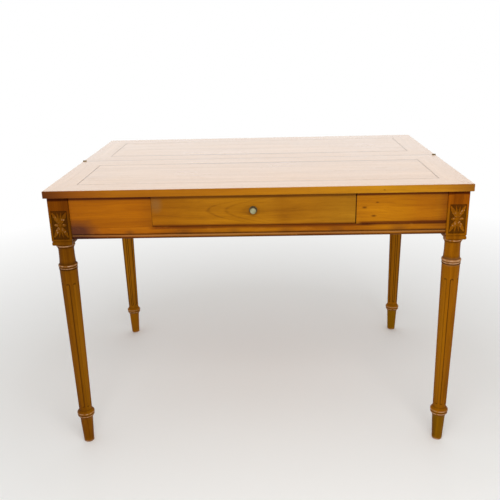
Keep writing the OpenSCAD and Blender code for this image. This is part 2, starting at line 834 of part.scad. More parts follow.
module carcass_hinges() {
  color(brass) {
    at_a() hinge_half(true);
    flip_x() at_a() hinge_half(true);
  }
}
module carcass_pins() {
  color(brass) {
    at_a() hinge_pin();
    flip_x() at_a() hinge_pin();
  }
}
module fold_left_a() {
  color(walnut) flip_x() fold_a();
}
module fold_left_a_hinges() {
  color(brass) flip_x() fold_a_hinges();
}
module fold_left_pin() {
  color(brass) flip_x() at_m() hinge_pin();
}
module fold_left_b() {
  color(walnut) flip_x() fold_b();
}
module fold_left_b_hinges() {
  color(brass) flip_x() fold_b_hinges();
}
module fold_right_a() {
  color(walnut) fold_a();
}
module fold_right_a_hinges() {
  color(brass) fold_a_hinges();
}
module fold_right_pin() {
  color(brass) at_m() hinge_pin();
}
module fold_right_b() {
  color(walnut) fold_b();
}
module fold_right_b_hinges() {
  color(brass) fold_b_hinges();
}

module leg_rear_left() {
  color(walnut_dark) flip_x() rear_leg();
}
module leg_rear_right() {
  color(walnut_dark) rear_leg();
}
module rear_apron() {
  color(walnut) translate([block_in, face_yr, apron_low]) rotate([0, 0, 180])
    bead_board(2 * block_in, apron_t, rear_top - apron_low);
}
module rear_hinges() {
  color(brass) {
    at_b() flip_y() hinge_half(true);
    flip_x() at_b() flip_y() hinge_half(true);
  }
}
module rear_pins() {
  color(brass) {
    at_b() hinge_pin();
    flip_x() at_b() hinge_pin();
  }
}
module rear_glue_blocks() {
  color(fir) for (s = [-1, 1]) glue_block(s * block_in, face_yr - apron_t - glue_w, rear_top);
}

leg_front_left();
leg_front_right();
front_rail();
frieze_left();
frieze_right();
side_left();
side_right();
back_rail();
runner_left();
runner_right();
guide_left();
guide_right();
kicker_left();
kicker_right();
glue_blocks();
top_board_front();
top_edge_front();
top_seam_front();
top_left_front();
top_right_front();
line_front();
leaf_hinges_fixed();
leaf_pins();
carcass_hinges();
carcass_pins();
top_board_rear();
top_edge_rear();
top_seam_rear();
top_left_rear();
top_right_rear();
line_rear();
leaf_hinges_moving();
drawer_front();
drawer_side_left();
drawer_side_right();
drawer_back();
drawer_bottom();
knob();
knob_rose();
fold_left_a();
fold_left_a_hinges();
fold_left_pin();
fold_left_b();
fold_left_b_hinges();
fold_right_a();
fold_right_a_hinges();
fold_right_pin();
fold_right_b();
fold_right_b_hinges();
leg_rear_left();
leg_rear_right();
rear_apron();
rear_hinges();
rear_pins();
rear_glue_blocks();
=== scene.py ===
# Games table with a fold-over top: softened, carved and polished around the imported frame
import json
import math
import random

import bpy
import bmesh
from mathutils import Matrix, Vector, noise


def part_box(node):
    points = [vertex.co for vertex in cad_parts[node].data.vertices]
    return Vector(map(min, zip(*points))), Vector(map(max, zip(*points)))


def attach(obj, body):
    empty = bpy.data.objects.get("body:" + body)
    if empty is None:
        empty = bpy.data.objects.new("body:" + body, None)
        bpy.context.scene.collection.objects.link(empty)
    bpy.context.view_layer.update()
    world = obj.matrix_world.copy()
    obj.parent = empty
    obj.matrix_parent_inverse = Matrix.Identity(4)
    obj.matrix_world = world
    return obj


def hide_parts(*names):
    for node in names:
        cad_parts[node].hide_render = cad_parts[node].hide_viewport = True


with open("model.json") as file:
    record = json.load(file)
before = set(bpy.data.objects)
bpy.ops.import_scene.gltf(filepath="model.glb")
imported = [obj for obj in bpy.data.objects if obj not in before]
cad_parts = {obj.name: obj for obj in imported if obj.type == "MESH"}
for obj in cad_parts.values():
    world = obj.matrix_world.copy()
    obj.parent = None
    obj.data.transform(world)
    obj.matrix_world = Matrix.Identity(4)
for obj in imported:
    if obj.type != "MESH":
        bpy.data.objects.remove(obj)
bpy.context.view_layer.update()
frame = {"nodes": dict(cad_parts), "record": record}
nodes = frame["nodes"]
print("frame loaded:", len(nodes), "pieces")


# Shader building

class Wire:
    # one output socket, so that shader maths can be written as plain sums
    def __init__(self, finish, socket):
        self.finish = finish
        self.socket = socket

    def maths(self, operation, *values):
        node = self.finish.node("ShaderNodeMath", {"operation": operation}, dict(enumerate(values)))
        return self.finish.wire(node)

    def __add__(self, other):
        return self.maths("ADD", self, other)

    def __mul__(self, other):
        return self.maths("MULTIPLY", self, other)

    __radd__, __rmul__ = __add__, __mul__

    def __sub__(self, other):
        return self.maths("SUBTRACT", self, other)

    def __rsub__(self, other):
        return self.maths("SUBTRACT", other, self)

    def __pow__(self, other):
        return self.maths("POWER", self, other)

    def __rpow__(self, other):
        return self.maths("POWER", other, self)

    def sine(self):
        return self.maths("SINE", self)


finishes = {}


class Finish:
    # the nodes of a material under construction, or of another tree that is given
    def __init__(self, name, tree=None):
        if tree is None:
            finishes[name] = bpy.data.materials.new(name)
            finishes[name].use_nodes = True
            tree = finishes[name].node_tree
        self.tree = tree
        self.tree.nodes.clear()

    def node(self, kind, settings=None, inputs=None):
        made = self.tree.nodes.new(kind)
        for key, value in (settings or {}).items():
            if key == "stops":
                self.setStops(made.color_ramp, value)
            else:
                setattr(made, key, value)
        for key, value in (inputs or {}).items():
            target = made.inputs[key]
            if isinstance(value, Wire):
                self.tree.links.new(value.socket, target)
            else:
                target.default_value = value
        return made

    def setStops(self, ramp, stops):
        while len(ramp.elements) < len(stops):
            ramp.elements.new(1.0)
        for element, (place, colour) in zip(ramp.elements, stops):
            element.position = place
            element.color = (*colour, 1.0)

    def wire(self, node, output=0):
        return Wire(self, node.outputs[output])

    def vector(self, operation, first, second):
        return self.wire(self.node("ShaderNodeVectorMath", {"operation": operation}, {0: first, 1: second}))

    def length(self, vector):
        return self.wire(self.node("ShaderNodeVectorMath", {"operation": "LENGTH"}, {0: vector}), "Value")

    def axes(self, vector):
        # the x and z of a place
        split = self.node("ShaderNodeSeparateXYZ", None, {0: vector})
        return self.wire(split, "X"), self.wire(split, "Z")

    def noise(self, vector, scale, detail=4.0, rough=0.55, distort=0.0):
        made = self.node("ShaderNodeTexNoise", {"noise_dimensions": "3D"}, {
            "Vector": vector, "Scale": scale, "Detail": detail, "Roughness": rough, "Distortion": distort})
        return self.wire(made)

    def ramp(self, value, stops):
        return self.wire(self.node("ShaderNodeValToRGB", {"stops": stops}, {"Fac": value}))

    def remap(self, value, low, high, toLow=0.0, toHigh=1.0):
        made = self.node("ShaderNodeMapRange", {"clamp": True}, {
            "Value": value, "From Min": low, "From Max": high, "To Min": toLow, "To Max": toHigh})
        return self.wire(made)

    def blend(self, amount, first, second, mode="MIX"):
        made = self.node("ShaderNodeMix", {"data_type": "RGBA", "blend_type": mode}, {
            0: amount, 6: first, 7: second})
        return self.wire(made, 2)

    def attribute(self, name):
        return self.wire(self.node("ShaderNodeAttribute", {"attribute_name": name}), "Fac")

    def place(self, turn=(0, 0, 0), shift=(0, 0, 0)):
        texture = self.node("ShaderNodeTexCoord")
        mapping = self.node("ShaderNodeMapping", {"vector_type": "POINT"}, {
            "Vector": self.wire(texture, "Object"), "Rotation": turn, "Location": shift})
        return self.wire(mapping)

    def bump(self, height, strength, distance):
        made = self.node("ShaderNodeBump", None, {
            "Height": height, "Strength": strength, "Distance": distance})
        return self.wire(made)

    def close(self, **inputs):
        shader = self.node("ShaderNodeBsdfPrincipled", None, {
            key.replace("_", " "): value for key, value in inputs.items()})
        output = self.node("ShaderNodeOutputMaterial", None, {"Surface": self.wire(shader)})
        output.is_active_output = True


# Finishes

toneStops = (0.18, 0.42, 0.62, 0.86)
grainTurn = {"x": (0, 0, 0), "y": (0, 0, -math.pi / 2), "z": (0, math.pi / 2, 0)}
timber = {
    "seedShift": (0.37, 0.83, 0.59), "sway": 0.035, "streakLength": 1.7,
    "streakShare": 0.62, "fineShare": 0.26, "cloudShare": 0.34, "middle": 0.5, "mean": 0.61,
    "pores": (0.6, 0.72), "poreDepth": 0.34, "dim": 0.45, "scuffs": (0.56, 0.74),
    "scuffGain": 1.45, "scuffPale": 0.02,
    "cloudRough": 0.16, "poreRough": 0.12, "scuffRough": 0.1, "meanRough": 0.08,
    "fibreLift": 0.35, "fineLift": 0.3, "streakLift": 0.2, "poreSink": 0.5,
    "bump": 0.16, "bumpDepth": 0.0006, "coatRough": 0.22, "refraction": 1.5}
# how far each pattern is squeezed along the axes, then its detail, roughness and distortion; the squeeze
# of the streaks is worked out from the wood's own
patterns = {"sway": ((2.4, 7, 7), 3.0), "ripple": ((9, 30, 30), 3.0), "streaks": (5.0, 0.62, 0.5),
            "fine": ((7, 300, 300), 3.0, 0.6), "clouds": ((5, 9, 9), 3.0), "fibre": ((38, 2300, 2300), 2.0),
            "scuffs": ((30, 55, 55), 6.0, 0.7), "scratches": ((300, 3000, 300), 2.0)}
knot = {"narrow": 0.45, "reach": 3.2, "push": 1.1, "core": 0.35, "rim": 1.15, "depth": 0.72}
stainAndLight = {"left": -0.55, "right": 0.55, "bandWaver": 0.004, "smudgeWaver": 1.2, "smudgeFade": (0.3, 1.2)}
carving = {"worn": (0.0, 0.6), "wornDepth": 0.2, "rubbedAndGlint": (0.6, 1.0), "rubbedGlintDepth": 0.8,
           "rubbedGlintTone": (0.58, 0.36, 0.22), "patchScale": 120.0, "patches": (0.4, 0.56),
           "dirtAndShadeDepth": 0.8, "coat": 0.6}


def figured(finish, vector, squeeze, *more):
    return finish.noise(finish.vector("MULTIPLY", vector, squeeze), 1.0, *more)


def shifted(finish, vector, value, direction):
    # pushes a pattern sideways by a value along a direction
    push = finish.node("ShaderNodeVectorMath", {"operation": "SCALE"}, {0: direction, "Scale": value})
    return finish.vector("ADD", vector, finish.wire(push))


def knotted(finish, still, bent, knots):
    # the grain parts round each knot, whose core is a dark dot
    shade = None
    for place, size in knots:
        gap = finish.vector("SUBTRACT", still, place)
        far = finish.length(finish.vector("MULTIPLY", gap, (knot["narrow"] / size, 0.0, 1.0 / size)))
        swell = finish.remap(far, 0.0, knot["reach"], 1.0, 0.0)
        bent = shifted(finish, bent, swell * swell * size * knot["push"], (0, 0, 1))
        dot = finish.remap(far, knot["core"], knot["rim"], 1.0, 0.0)
        shade = dot if shade is None else shade + dot
    return bent, shade


def flatSawn(finish, still, moved, figure):
    # contour lines of a flat-sawn board, closing towards the apex
    along, across = finish.axes(still)
    along = along - figure["apex"][0]
    across = across - figure["apex"][1]
    ripple = figured(finish, moved, *patterns["ripple"]) - 0.5
    contour = along - across * across * figure["curve"] + ripple * figure["ripple"]
    wave = (contour * figure["rings"] + figure["start"]).sine() * 0.5 + 0.5
    inside = finish.remap(contour, figure["from"], figure["from"] + figure["rise"])
    fall = finish.remap(contour, figure["to"], figure["to"] + figure["fall"], 1.0, figure["rest"])
    return (wave ** figure["sharp"] - figure["level"]) * figure["depth"] * (inside * fall)


def smudged(finish, colour, spot, clouds, smudges):
    # soft-edged spots of another tone, their sizes given along each axis
    for place, size, depth, tone in smudges:
        near = finish.vector("DIVIDE", finish.vector("SUBTRACT", spot, place), size)
        far = finish.length(near) + (clouds - 0.5) * stainAndLight["smudgeWaver"]
        share = finish.remap(far, *stainAndLight["smudgeFade"], depth, 0.0)
        colour = finish.blend(share, colour, (*tone, 1))
    return colour


def band(low, high, soft, depth, tone, ends=None, mode="MULTIPLY"):
    return low, high, soft, depth, tone, ends, mode


def within(finish, value, low, high, soft):
    rise = finish.remap(value, low - soft, low + soft)
    return rise * finish.remap(value, high - soft, high + soft, 1.0, 0.0)


def banded(finish, colour, along, up, bands):
    # level bands of painted shadow and light, and of dirt, some with a left and a right end that fade
    for low, high, soft, depth, tone, ends, mode in bands:
        share = within(finish, up, low, high, soft)
        if ends:
            share = share * within(finish, along, *ends)
        colour = finish.blend(share * depth, colour, (*tone, 1), mode)
    return colour


def carvedTones(finish, colour, moved, light, dark):
    # paler ridges, partly wear and partly painted highlights, and darker hollows, partly dirt and partly
    # painted shade
    ridge = finish.attribute("ridge")
    worn = finish.remap(ridge, *carving["worn"], 0.0, carving["wornDepth"])
    colour = finish.blend(worn, colour, (*light, 1))
    patches = finish.remap(finish.noise(moved, carving["patchScale"], detail=2.0), *carving["patches"])
    rubbedAndGlint = finish.remap(ridge, *carving["rubbedAndGlint"]) * patches * carving["rubbedGlintDepth"]
    colour = finish.blend(rubbedAndGlint, colour, (*carving["rubbedGlintTone"], 1))
    dirtAndShade = finish.remap(finish.attribute("hollow"), 0.0, 1.0, 0.0, carving["dirtAndShadeDepth"])
    return finish.blend(dirtAndShade, colour, (*dark, 1))


def walnut(name, grain, tones, seed, broad=34.0, contrast=1.0, figure=None, knots=(), smudges=(), bands=(),
           drift=None, polish=0.36, shine=0.05, coat=0.02, worn=0.0, carved=False, faded=None):
    finish = Finish(name)
    still = finish.place(grainTurn[grain])
    moved = finish.place(grainTurn[grain], [seed * share for share in timber["seedShift"]])
    sway = figured(finish, moved, *patterns["sway"]) - 0.5
    bent = shifted(finish, moved, sway * timber["sway"], (0, 1, 1))
    bent, knotShade = knotted(finish, still, bent, knots)
    streaks = figured(finish, bent, (timber["streakLength"], broad, broad), *patterns["streaks"])
    fine = figured(finish, bent, *patterns["fine"])
    clouds = figured(finish, moved, *patterns["clouds"])
    fibre = figured(finish, bent, *patterns["fibre"])
    tone = streaks * (timber["streakShare"] * contrast) + fine * (timber["fineShare"] * contrast)
    tone = tone + clouds * (timber["cloudShare"] * contrast) + (timber["middle"] - timber["mean"] * contrast)
    if figure:
        tone = tone - flatSawn(finish, still, moved, figure)
    colour = finish.ramp(tone, list(zip(toneStops, tones)))
    spot = finish.place()
    along, height = finish.axes(spot)
    up = height + (streaks + clouds - 1.0) * stainAndLight["bandWaver"]
    if drift:
        share = finish.remap(along, stainAndLight["left"], stainAndLight["right"])
        colour = finish.blend(1.0, colour, finish.ramp(share, drift), "MULTIPLY")
    if faded:
        # the faces that the attribute marks are paler: partly wood faded by sun and polish, partly painted
        # sheen
        paled = finish.ramp(tone, list(zip(toneStops, faded["tones"])))
        colour = finish.blend(finish.attribute(faded["mark"]), colour, paled)
    pores = finish.remap(fibre, *timber["pores"])
    dark = [channel * timber["dim"] for channel in tones[0]]
    colour = finish.blend(pores * timber["poreDepth"], colour, (*dark, 1))
    if knots:
        colour = finish.blend(knotShade * knot["depth"], colour, (*dark, 1))
    colour = smudged(finish, colour, spot, clouds, smudges)
    colour = banded(finish, colour, along, up, bands)
    if carved:
        colour = carvedTones(finish, colour, moved, tones[3], dark)
        coat = finish.remap(finish.attribute("ridge"), *carving["rubbedAndGlint"], 0.0, carving["coat"])
    scuffs = finish.remap(figured(finish, moved, *patterns["scuffs"]), *timber["scuffs"])
    if worn:
        light = [channel * timber["scuffGain"] + timber["scuffPale"] for channel in tones[3]]
        colour = finish.blend(scuffs * worn, colour, (*light, 1))
    if faded:
        coat = finish.attribute(faded["mark"]) * coat
    rough = clouds * timber["cloudRough"] + pores * timber["poreRough"] + scuffs * timber["scuffRough"]
    lift = fibre * timber["fibreLift"] + fine * timber["fineLift"] + streaks * timber["streakLift"]
    normal = finish.bump(lift - pores * timber["poreSink"], timber["bump"], timber["bumpDepth"])
    finish.close(Base_Color=colour, Roughness=rough + (polish - timber["meanRough"]), Normal=normal,
                 Coat_Weight=coat, Coat_Roughness=timber["coatRough"], IOR=timber["refraction"],
                 Specular_IOR_Level=shine)


metal = {"seedShift": (1.0, 0.4, 0.7), "cloudScale": 90.0, "speckScale": 900.0, "specks": (0.55, 0.72),
         "stops": (0.25, 0.5, 0.75), "dim": 0.4, "cloudRough": 0.2, "speckRough": 0.15, "meanRough": 0.1,
         "scratchLift": 0.5, "cloudLift": 0.3, "bump": 0.1, "bumpDepth": 0.0002}


def brass(name, tones, seed, polish, tarnish):
    finish = Finish(name)
    place = finish.place(shift=[seed * share for share in metal["seedShift"]])
    clouds = finish.noise(place, metal["cloudScale"], detail=5.0, rough=0.6)
    specks = finish.remap(finish.noise(place, metal["speckScale"], rough=0.7), *metal["specks"])
    scratches = figured(finish, place, *patterns["scratches"])
    colour = finish.ramp(clouds, list(zip(metal["stops"], tones)))
    dark = [channel * metal["dim"] for channel in tones[0]]
    colour = finish.blend(specks * tarnish, colour, (*dark, 1))
    rough = clouds * metal["cloudRough"] + specks * metal["speckRough"] + (polish - metal["meanRough"])
    lift = scratches * metal["scratchLift"] + clouds * metal["cloudLift"]
    normal = finish.bump(lift, metal["bump"], metal["bumpDepth"])
    finish.close(Base_Color=colour, Metallic=1.0, Roughness=rough, Normal=normal)


# Tones, from the darkest streak to the lightest
honey = [(0.16, 0.038, 0.0008), (0.32, 0.092, 0.0014), (0.43, 0.136, 0.0028), (0.54, 0.2, 0.009)]
umber = [(0.07, 0.019, 0.0006), (0.155, 0.046, 0.001), (0.25, 0.082, 0.002), (0.37, 0.14, 0.007)]
amber = [(0.12, 0.036, 0.001), (0.26, 0.09, 0.0018), (0.35, 0.13, 0.0036), (0.44, 0.188, 0.011)]
# tones of the playing surface: partly faded wood, partly painted sheen
pale = [(0.36, 0.185, 0.08), (0.5, 0.285, 0.14), (0.6, 0.36, 0.19), (0.68, 0.43, 0.245)]
straw = [(0.3, 0.17, 0.07), (0.44, 0.275, 0.125), (0.55, 0.37, 0.19), (0.64, 0.46, 0.26)]
soot = [(0.055, 0.034, 0.02), (0.12, 0.078, 0.048), (0.21, 0.14, 0.088), (0.32, 0.215, 0.135)]


# Woods of the pieces. A drift tints a piece along the table, from the left end (0) to the right end (1),
# partly in the wood's own tone and partly as painted light and shade; a smudge has a place, size, depth and
# tone; a knot has a place and size

frontFace = -0.386
# painted shadow of the overhanging top, along the upper edge of the pieces under it
underTopShadow = band(0.7415, 0.78, 0.0016, 0.95, (0.26, 0.14, 0.05))
rightJoint = band(0.663, 0.6725, 0.0016, 0.95, (0.28, 0.17, 0.25), (0.262, 0.6, 0.01))
cornerStain = ((-0.474, frontFace, 0.657), (0.06, 0.06, 0.026), 0.97, (0.085, 0.024, 0.01))

legWood = {
    "broad": 46.0, "contrast": 0.9, "polish": 0.34, "shine": 0.02, "worn": 0.06, "carved": True,
    # painted light: the legs grow lighter towards the right end of the table
    "drift": [(0.0, (0.9, 0.9, 0.5)), (0.5, (0.9, 0.9, 0.5)), (1.0, (1.22, 1.24, 0.6))],
    "smudges": [
        # painted light on the rear legs, which stand in shade under the table, the left one most
        ((0.0, 0.369, 0.3), (3.0, 0.12, 3.0), 0.42, (0.44, 0.165, 0.004)),
        ((-0.51, 0.369, 0.45), (0.12, 0.1, 0.3), 0.55, (0.5, 0.19, 0.005)),
        # a painted highlight on a collar, and painted light on the front legs' sides that face each other
        ((0.51, -0.36, 0.556), (0.08, 0.08, 0.012), 0.42, (0.52, 0.3, 0.16))] + [
        ((x, -0.39, 0.27), (0.016, 0.03, 0.32), 0.6, (0.38, 0.15, 0.003)) for x in (-0.494, 0.494)],
    "bands": [
        # painted shade on the left legs' tops, a reddish painted shadow of the top on the blocks' tops,
        # painted floor bounce light on the right feet
        band(0.42, 0.9, 0.16, 0.6, (0.62, 0.62, 0.6), (-0.6, -0.3, 0.02)),
        band(0.706, 0.8, 0.01, 0.8, (1.05, 0.76, 0.9)),
        underTopShadow,
        band(-0.05, 0.086, 0.003, 1.0, (0.8, 0.98, 0.5), (0.3, 0.6, 0.02))]}
walnut("turned leg walnut", "z", umber, 3.1, **legWood)

leftFriezeWood = {
    "contrast": 1.15,
    "drift": [(0.07, (0.836, 0.772, 0.33)), (0.18, (0.845, 0.794, 0.3)), (0.22, (0.814, 0.753, 0.26)),
              (0.25, (0.69, 0.65, 0.31))],
    "smudges": [cornerStain,
                ((-0.4425, frontFace, 0.684), (0.014, 0.05, 0.006), 0.35, (0.16, 0.045, 0.006))],
    "bands": [underTopShadow]}
walnut("front left frieze walnut", "x", honey, 5.2, **leftFriezeWood)

rightFriezeWood = {
    "contrast": 1.15,
    "drift": [(0.73, (1.01, 1.155, 0.88)), (0.8, (1.14, 1.35, 0.83)), (0.845, (1.1, 1.28, 0.69)),
              (0.88, (0.97, 1.02, 0.5)), (0.915, (0.87, 0.89, 0.4)), (0.94, (0.765, 0.85, 0.7))],
    "knots": [((0.3017, frontFace, 0.6871), 0.0034), ((0.3099, frontFace, 0.723), 0.0022),
              ((0.2774, frontFace, 0.7097), 0.0034)],
    "bands": [underTopShadow, rightJoint, band(0.6, 0.8, 0.01, 0.5, (0.74, 0.5, 0.6), (0.474, 0.6, 0.008))]}
walnut("front right frieze walnut", "x", honey, 8.4, **rightFriezeWood)

drawerWood = {
    "contrast": 1.1,
    "figure": {"apex": (-0.08, 0.7066), "curve": 95.0, "ripple": 0.05, "rings": 143.0, "start": 1.57,
               "from": -0.062, "rise": 0.02, "to": -0.01, "fall": 0.09, "rest": 0.08,
               "sharp": 7.0, "level": 0.12, "depth": 0.13},
    "drift": [(0.26, (0.86, 0.76, 0.35)), (0.33, (0.96, 0.93, 0.6)), (0.39, (1.06, 1.09, 0.95)),
              (0.46, (0.99, 1.02, 0.6)), (0.53, (0.95, 0.98, 0.9)), (0.56, (0.84, 0.82, 0.6)),
              (0.62, (0.99, 1.02, 1.0)), (0.72, (1.0, 1.12, 1.6))],
    "smudges": [
        # the upper left corner, and painted shade with dirt round the knob
        ((-0.262, frontFace, 0.727), (0.018, 0.05, 0.022), 0.45, (0.2, 0.105, 0.035)),
        ((-0.0095, frontFace, 0.7055), (0.0175, 0.05, 0.0135), 0.55, (0.09, 0.028, 0.003))],
    "bands": [
        # painted shadow of the top along the upper edge, a painted lighter lower half, and painted shade
        # along the lower edge
        band(0.7415, 0.78, 0.0016, 0.65, (0.26, 0.14, 0.05)),
        band(0.6715, 0.706, 0.012, 1.0, (1.18, 1.2, 1.1), (-0.4, 0.1, 0.06)),
        band(0.6, 0.6712, 0.0018, 0.85, (0.46, 0.3, 0.3))]}
walnut("drawer walnut", "x", amber, 2.7, **drawerWood)

railWood = {
    "contrast": 1.35, "worn": 0.12,
    "drift": [(0.07, (0.77, 0.66, 0.37)), (0.25, (0.78, 0.7, 0.35)), (0.37, (0.735, 0.75, 0.36)),
              (0.45, (0.9, 1.01, 0.56)), (0.53, (0.83, 0.9, 0.48)), (0.6, (0.75, 0.73, 0.4)),
              (0.72, (0.79, 0.75, 0.39)), (0.8, (1.01, 1.14, 0.59)), (0.88, (0.93, 1.01, 0.69)),
              (0.94, (0.7, 0.71, 0.99))],
    "bands": [
        # the joints and a darker strip under the drawer, then the quirk, a painted highlight along the bead,
        # and painted shade on its underside
        rightJoint,
        band(0.661, 0.68, 0.003, 0.9, (0.4, 0.26, 0.2), (-0.276, 0.3, 0.012)),
        band(0.646, 0.6505, 0.0012, 0.75, (0.4, 0.32, 0.3)),
        band(0.6425, 0.6455, 0.0013, 0.8, (0.29, 0.13, 0.04), mode="MIX"),
        band(0.5, 0.6412, 0.0018, 0.95, (0.3, 0.24, 0.4))]}
# old spills and knocks along the rail: place, height, size and depth
railSpots = ((-0.335, 0.653, 0.016, 0.55), (-0.19, 0.651, 0.024, 0.5), (-0.06, 0.654, 0.018, 0.35),
             (0.075, 0.6515, 0.026, 0.45), (0.205, 0.6535, 0.02, 0.4), (0.365, 0.652, 0.024, 0.45))
railWood["smudges"] = [cornerStain] + [
    ((x, frontFace, z), (size, 0.05, size * 0.45), depth, (0.12, 0.035, 0.004))
    for x, z, size, depth in railSpots]
walnut("rail walnut", "x", honey, 12.9, **railWood)
walnut("rear rail walnut", "x", honey, 15.5)
walnut("side walnut", "y", honey, 17.3)
walnut("folding side walnut", "y", honey, 21.9)

# darker strips where the leaves meet, and along the stringing beside them
leafJoint = ((0.0, 0.0, 0.77), (6.0, 0.0065, 0.2), 0.62, (0.24, 0.13, 0.065))
stringDarkening = [((0.0, y, 0.77), (0.62, 0.007, 0.2), 0.6, (0.18, 0.095, 0.055)) for y in (-0.0735, 0.0735)]
topWood = {"polish": 0.3, "shine": 0.1, "coat": 0.6, "faded": {"mark": "faded", "tones": pale},
           "smudges": [leafJoint] + stringDarkening}
boardWood = {**topWood, "broad": 24.0, "contrast": 1.05}
borderWood = {**topWood, "broad": 40.0, "contrast": 0.8}
frontEdge = {
    "drift": [(0.0, (0.25, 0.19, 0.14)), (0.035, (0.41, 0.325, 0.18)), (0.09, (0.64, 0.565, 0.21)),
              (0.16, (0.785, 0.8, 0.17)), (0.34, (0.867, 0.97, 0.22)), (0.45, (0.867, 0.977, 0.34)),
              (0.53, (0.91, 1.08, 0.48)), (0.67, (1.0, 1.29, 1.17)), (0.85, (1.14, 1.57, 1.41)),
              (0.93, (1.11, 1.45, 2.2)), (1.0, (0.7, 0.84, 2.1))],
    "knots": [((0.3243, -0.4, 0.7587), 0.0016)]}
walnut("top board walnut", "x", honey, 6.6, **boardWood)
walnut("rear board walnut", "x", honey, 9.7, **boardWood)
walnut("front border walnut", "x", honey, 31.2, **borderWood, **frontEdge)
walnut("long border walnut", "x", honey, 31.2, **borderWood)
walnut("end border walnut", "y", honey, 33.8, **{**borderWood, "smudges": [leafJoint]})
walnut("dark stringing", "x", soot, 1.2, polish=0.35)

firWood = {"broad": 60.0, "contrast": 0.8, "polish": 0.62, "shine": 0.12, "coat": 0.0}
walnut("inner fir along", "x", straw, 41.0, **firWood)
walnut("inner fir across", "y", straw, 43.0, **firWood)
walnut("inner fir upright", "z", straw, 45.0, **firWood)

brass("knob brass", [(0.26, 0.24, 0.12), (0.38, 0.37, 0.22), (0.5, 0.5, 0.34)],
      0.3, polish=0.34, tarnish=0.35)
brass("rose brass", [(0.06, 0.045, 0.022), (0.12, 0.09, 0.045), (0.2, 0.16, 0.085)],
      0.6, polish=0.5, tarnish=0.5)
brass("hinge brass", [(0.14, 0.09, 0.035), (0.24, 0.165, 0.07), (0.36, 0.26, 0.12)],
      0.9, polish=0.46, tarnish=0.5)
print("finishes mixed:", len(finishes))


# Making pieces

bodyOf = {node: body for body, names in frame["record"]["behaviour"]["bodies"].items() for node in names}
merge = 2e-6    # points closer than this are one
hair = 1e-4     # less than this doesn't count
flatAngle = math.radians(0.4)    # faces that turn less than this are one face


def meshOf(name, work):
    mesh = bpy.data.meshes.new(name)
    work.to_mesh(mesh)
    work.free()
    return mesh


def linked(name, data):
    made = bpy.data.objects.new(name, data)
    bpy.context.scene.collection.objects.link(made)
    return made


def landed(name, work, finish, node, creaseAngle=38, stands=True):
    # the worked mesh becomes a piece on the body of its solid
    mesh = meshOf(name, work)
    mesh.shade_smooth()
    mesh.set_sharp_from_angle(angle=math.radians(creaseAngle))
    mesh.materials.append(finishes[finish])
    piece = linked(name, mesh)
    even = piece.modifiers.new("even normals", "WEIGHTED_NORMAL")
    even.keep_sharp = True
    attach(piece, bodyOf[node])
    if stands:
        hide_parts(node)


def solidCopy(node):
    # the solid's own faces, merged and with flat stretches made whole
    work = bmesh.new()
    work.from_mesh(nodes[node].data)
    bmesh.ops.remove_doubles(work, verts=work.verts, dist=merge)
    bmesh.ops.dissolve_limit(work, angle_limit=flatAngle, verts=work.verts, edges=work.edges)
    return work


def soften(work, ease, segments=2, test=None, sharper=42):
    # rounds the arrises that are sharper than an angle, where test says so
    arrises = [edge for edge in work.edges
               if len(edge.link_faces) == 2 and edge.calc_face_angle() > math.radians(sharper)
               and (test is None or test((edge.verts[0].co + edge.verts[1].co) / 2))]
    bmesh.ops.bevel(work, geom=arrises, offset=ease, offset_type="OFFSET", segments=segments,
                    profile=0.5, affect="EDGES", clamp_overlap=True, material=-1)


def move(work, step):
    bmesh.ops.translate(work, vec=step, verts=work.verts)


def turn(work, angle, axis):
    bmesh.ops.rotate(work, cent=(0, 0, 0), matrix=Matrix.Rotation(angle, 3, axis), verts=work.verts)


def cuboid(*sizes):
    work = bmesh.new()
    bmesh.ops.create_cube(work, size=1.0)
    bmesh.ops.scale(work, vec=sizes, verts=work.verts)
    return work


def lathe(points, axis, steps, merge, closed=False):
    # an outline turned about an axis
    work = bmesh.new()
    corners = [work.verts.new(point) for point in points]
    edges = [work.edges.new(pair) for pair in zip(corners, corners[1:])]
    if closed:
        edges.append(work.edges.new((corners[-1], corners[0])))
    bmesh.ops.spin(work, geom=corners + edges, cent=(0, 0, 0), axis=axis, angle=math.tau, steps=steps,
                   use_merge=True, use_duplicate=False)
    bmesh.ops.remove_doubles(work, verts=work.verts, dist=merge)
    bmesh.ops.recalc_face_normals(work, faces=work.faces)
    return work


def marks(work):
    # what the finish of the carving reads
    return [work.verts.layers.float.new(name) for name in ("hollow", "ridge")]


# Legs: a turned and fluted shaft under a square block with carved faces

leg = {"blockLow": 0.6195, "blockHalf": 0.027, "ease": 0.0009, "easeSteps": 3, "crease": 48,
       "bandUp": 0.0115, "bandLine": 0.0014, "bandRound": 0.003, "bandSteps": 8,
       "panelHalfWidth": 0.021, "panelHalfHeight": 0.039, "panelDepth": 0.003, "panelUp": 0.0175,
       "flutes": 8, "fluteLow": 0.124, "fluteTop": 0.503, "fluteRadius": (0.0056, 0.0075),
       "fluteDepth": (0.0023, 0.003), "shaftLow": 0.11, "shaftEnd": 0.5472,
       "shaftRadius": (0.0184, 0.024), "rowGap": 0.008, "leastGap": 0.0004,
       "endRows": (0.0, 0.2, 0.4, 0.55, 0.68, 0.79, 0.9),    # shares of the round ends of the flutes
       "footLow": (0.0143, 0.0012), "footTop": (0.018, 0.078), "footSteps": 6, "merge": 5e-5,
       "quirks": (0.0862, 0.0931, 0.1085, 0.5474, 0.5496, 0.5551, 0.564, 0.6112),
       "crowns": (0.0012, 0.0905, 0.0995, 0.5525, 0.56, 0.616)}
# the turned ring's points, in degrees from the middle of a flute to the middle of the wood between
landAngles = [0, 4.0, 7.2, 9.2, 10.8, 12.2, 13.4, 14.4, 15.6, 18.6, 22.5]
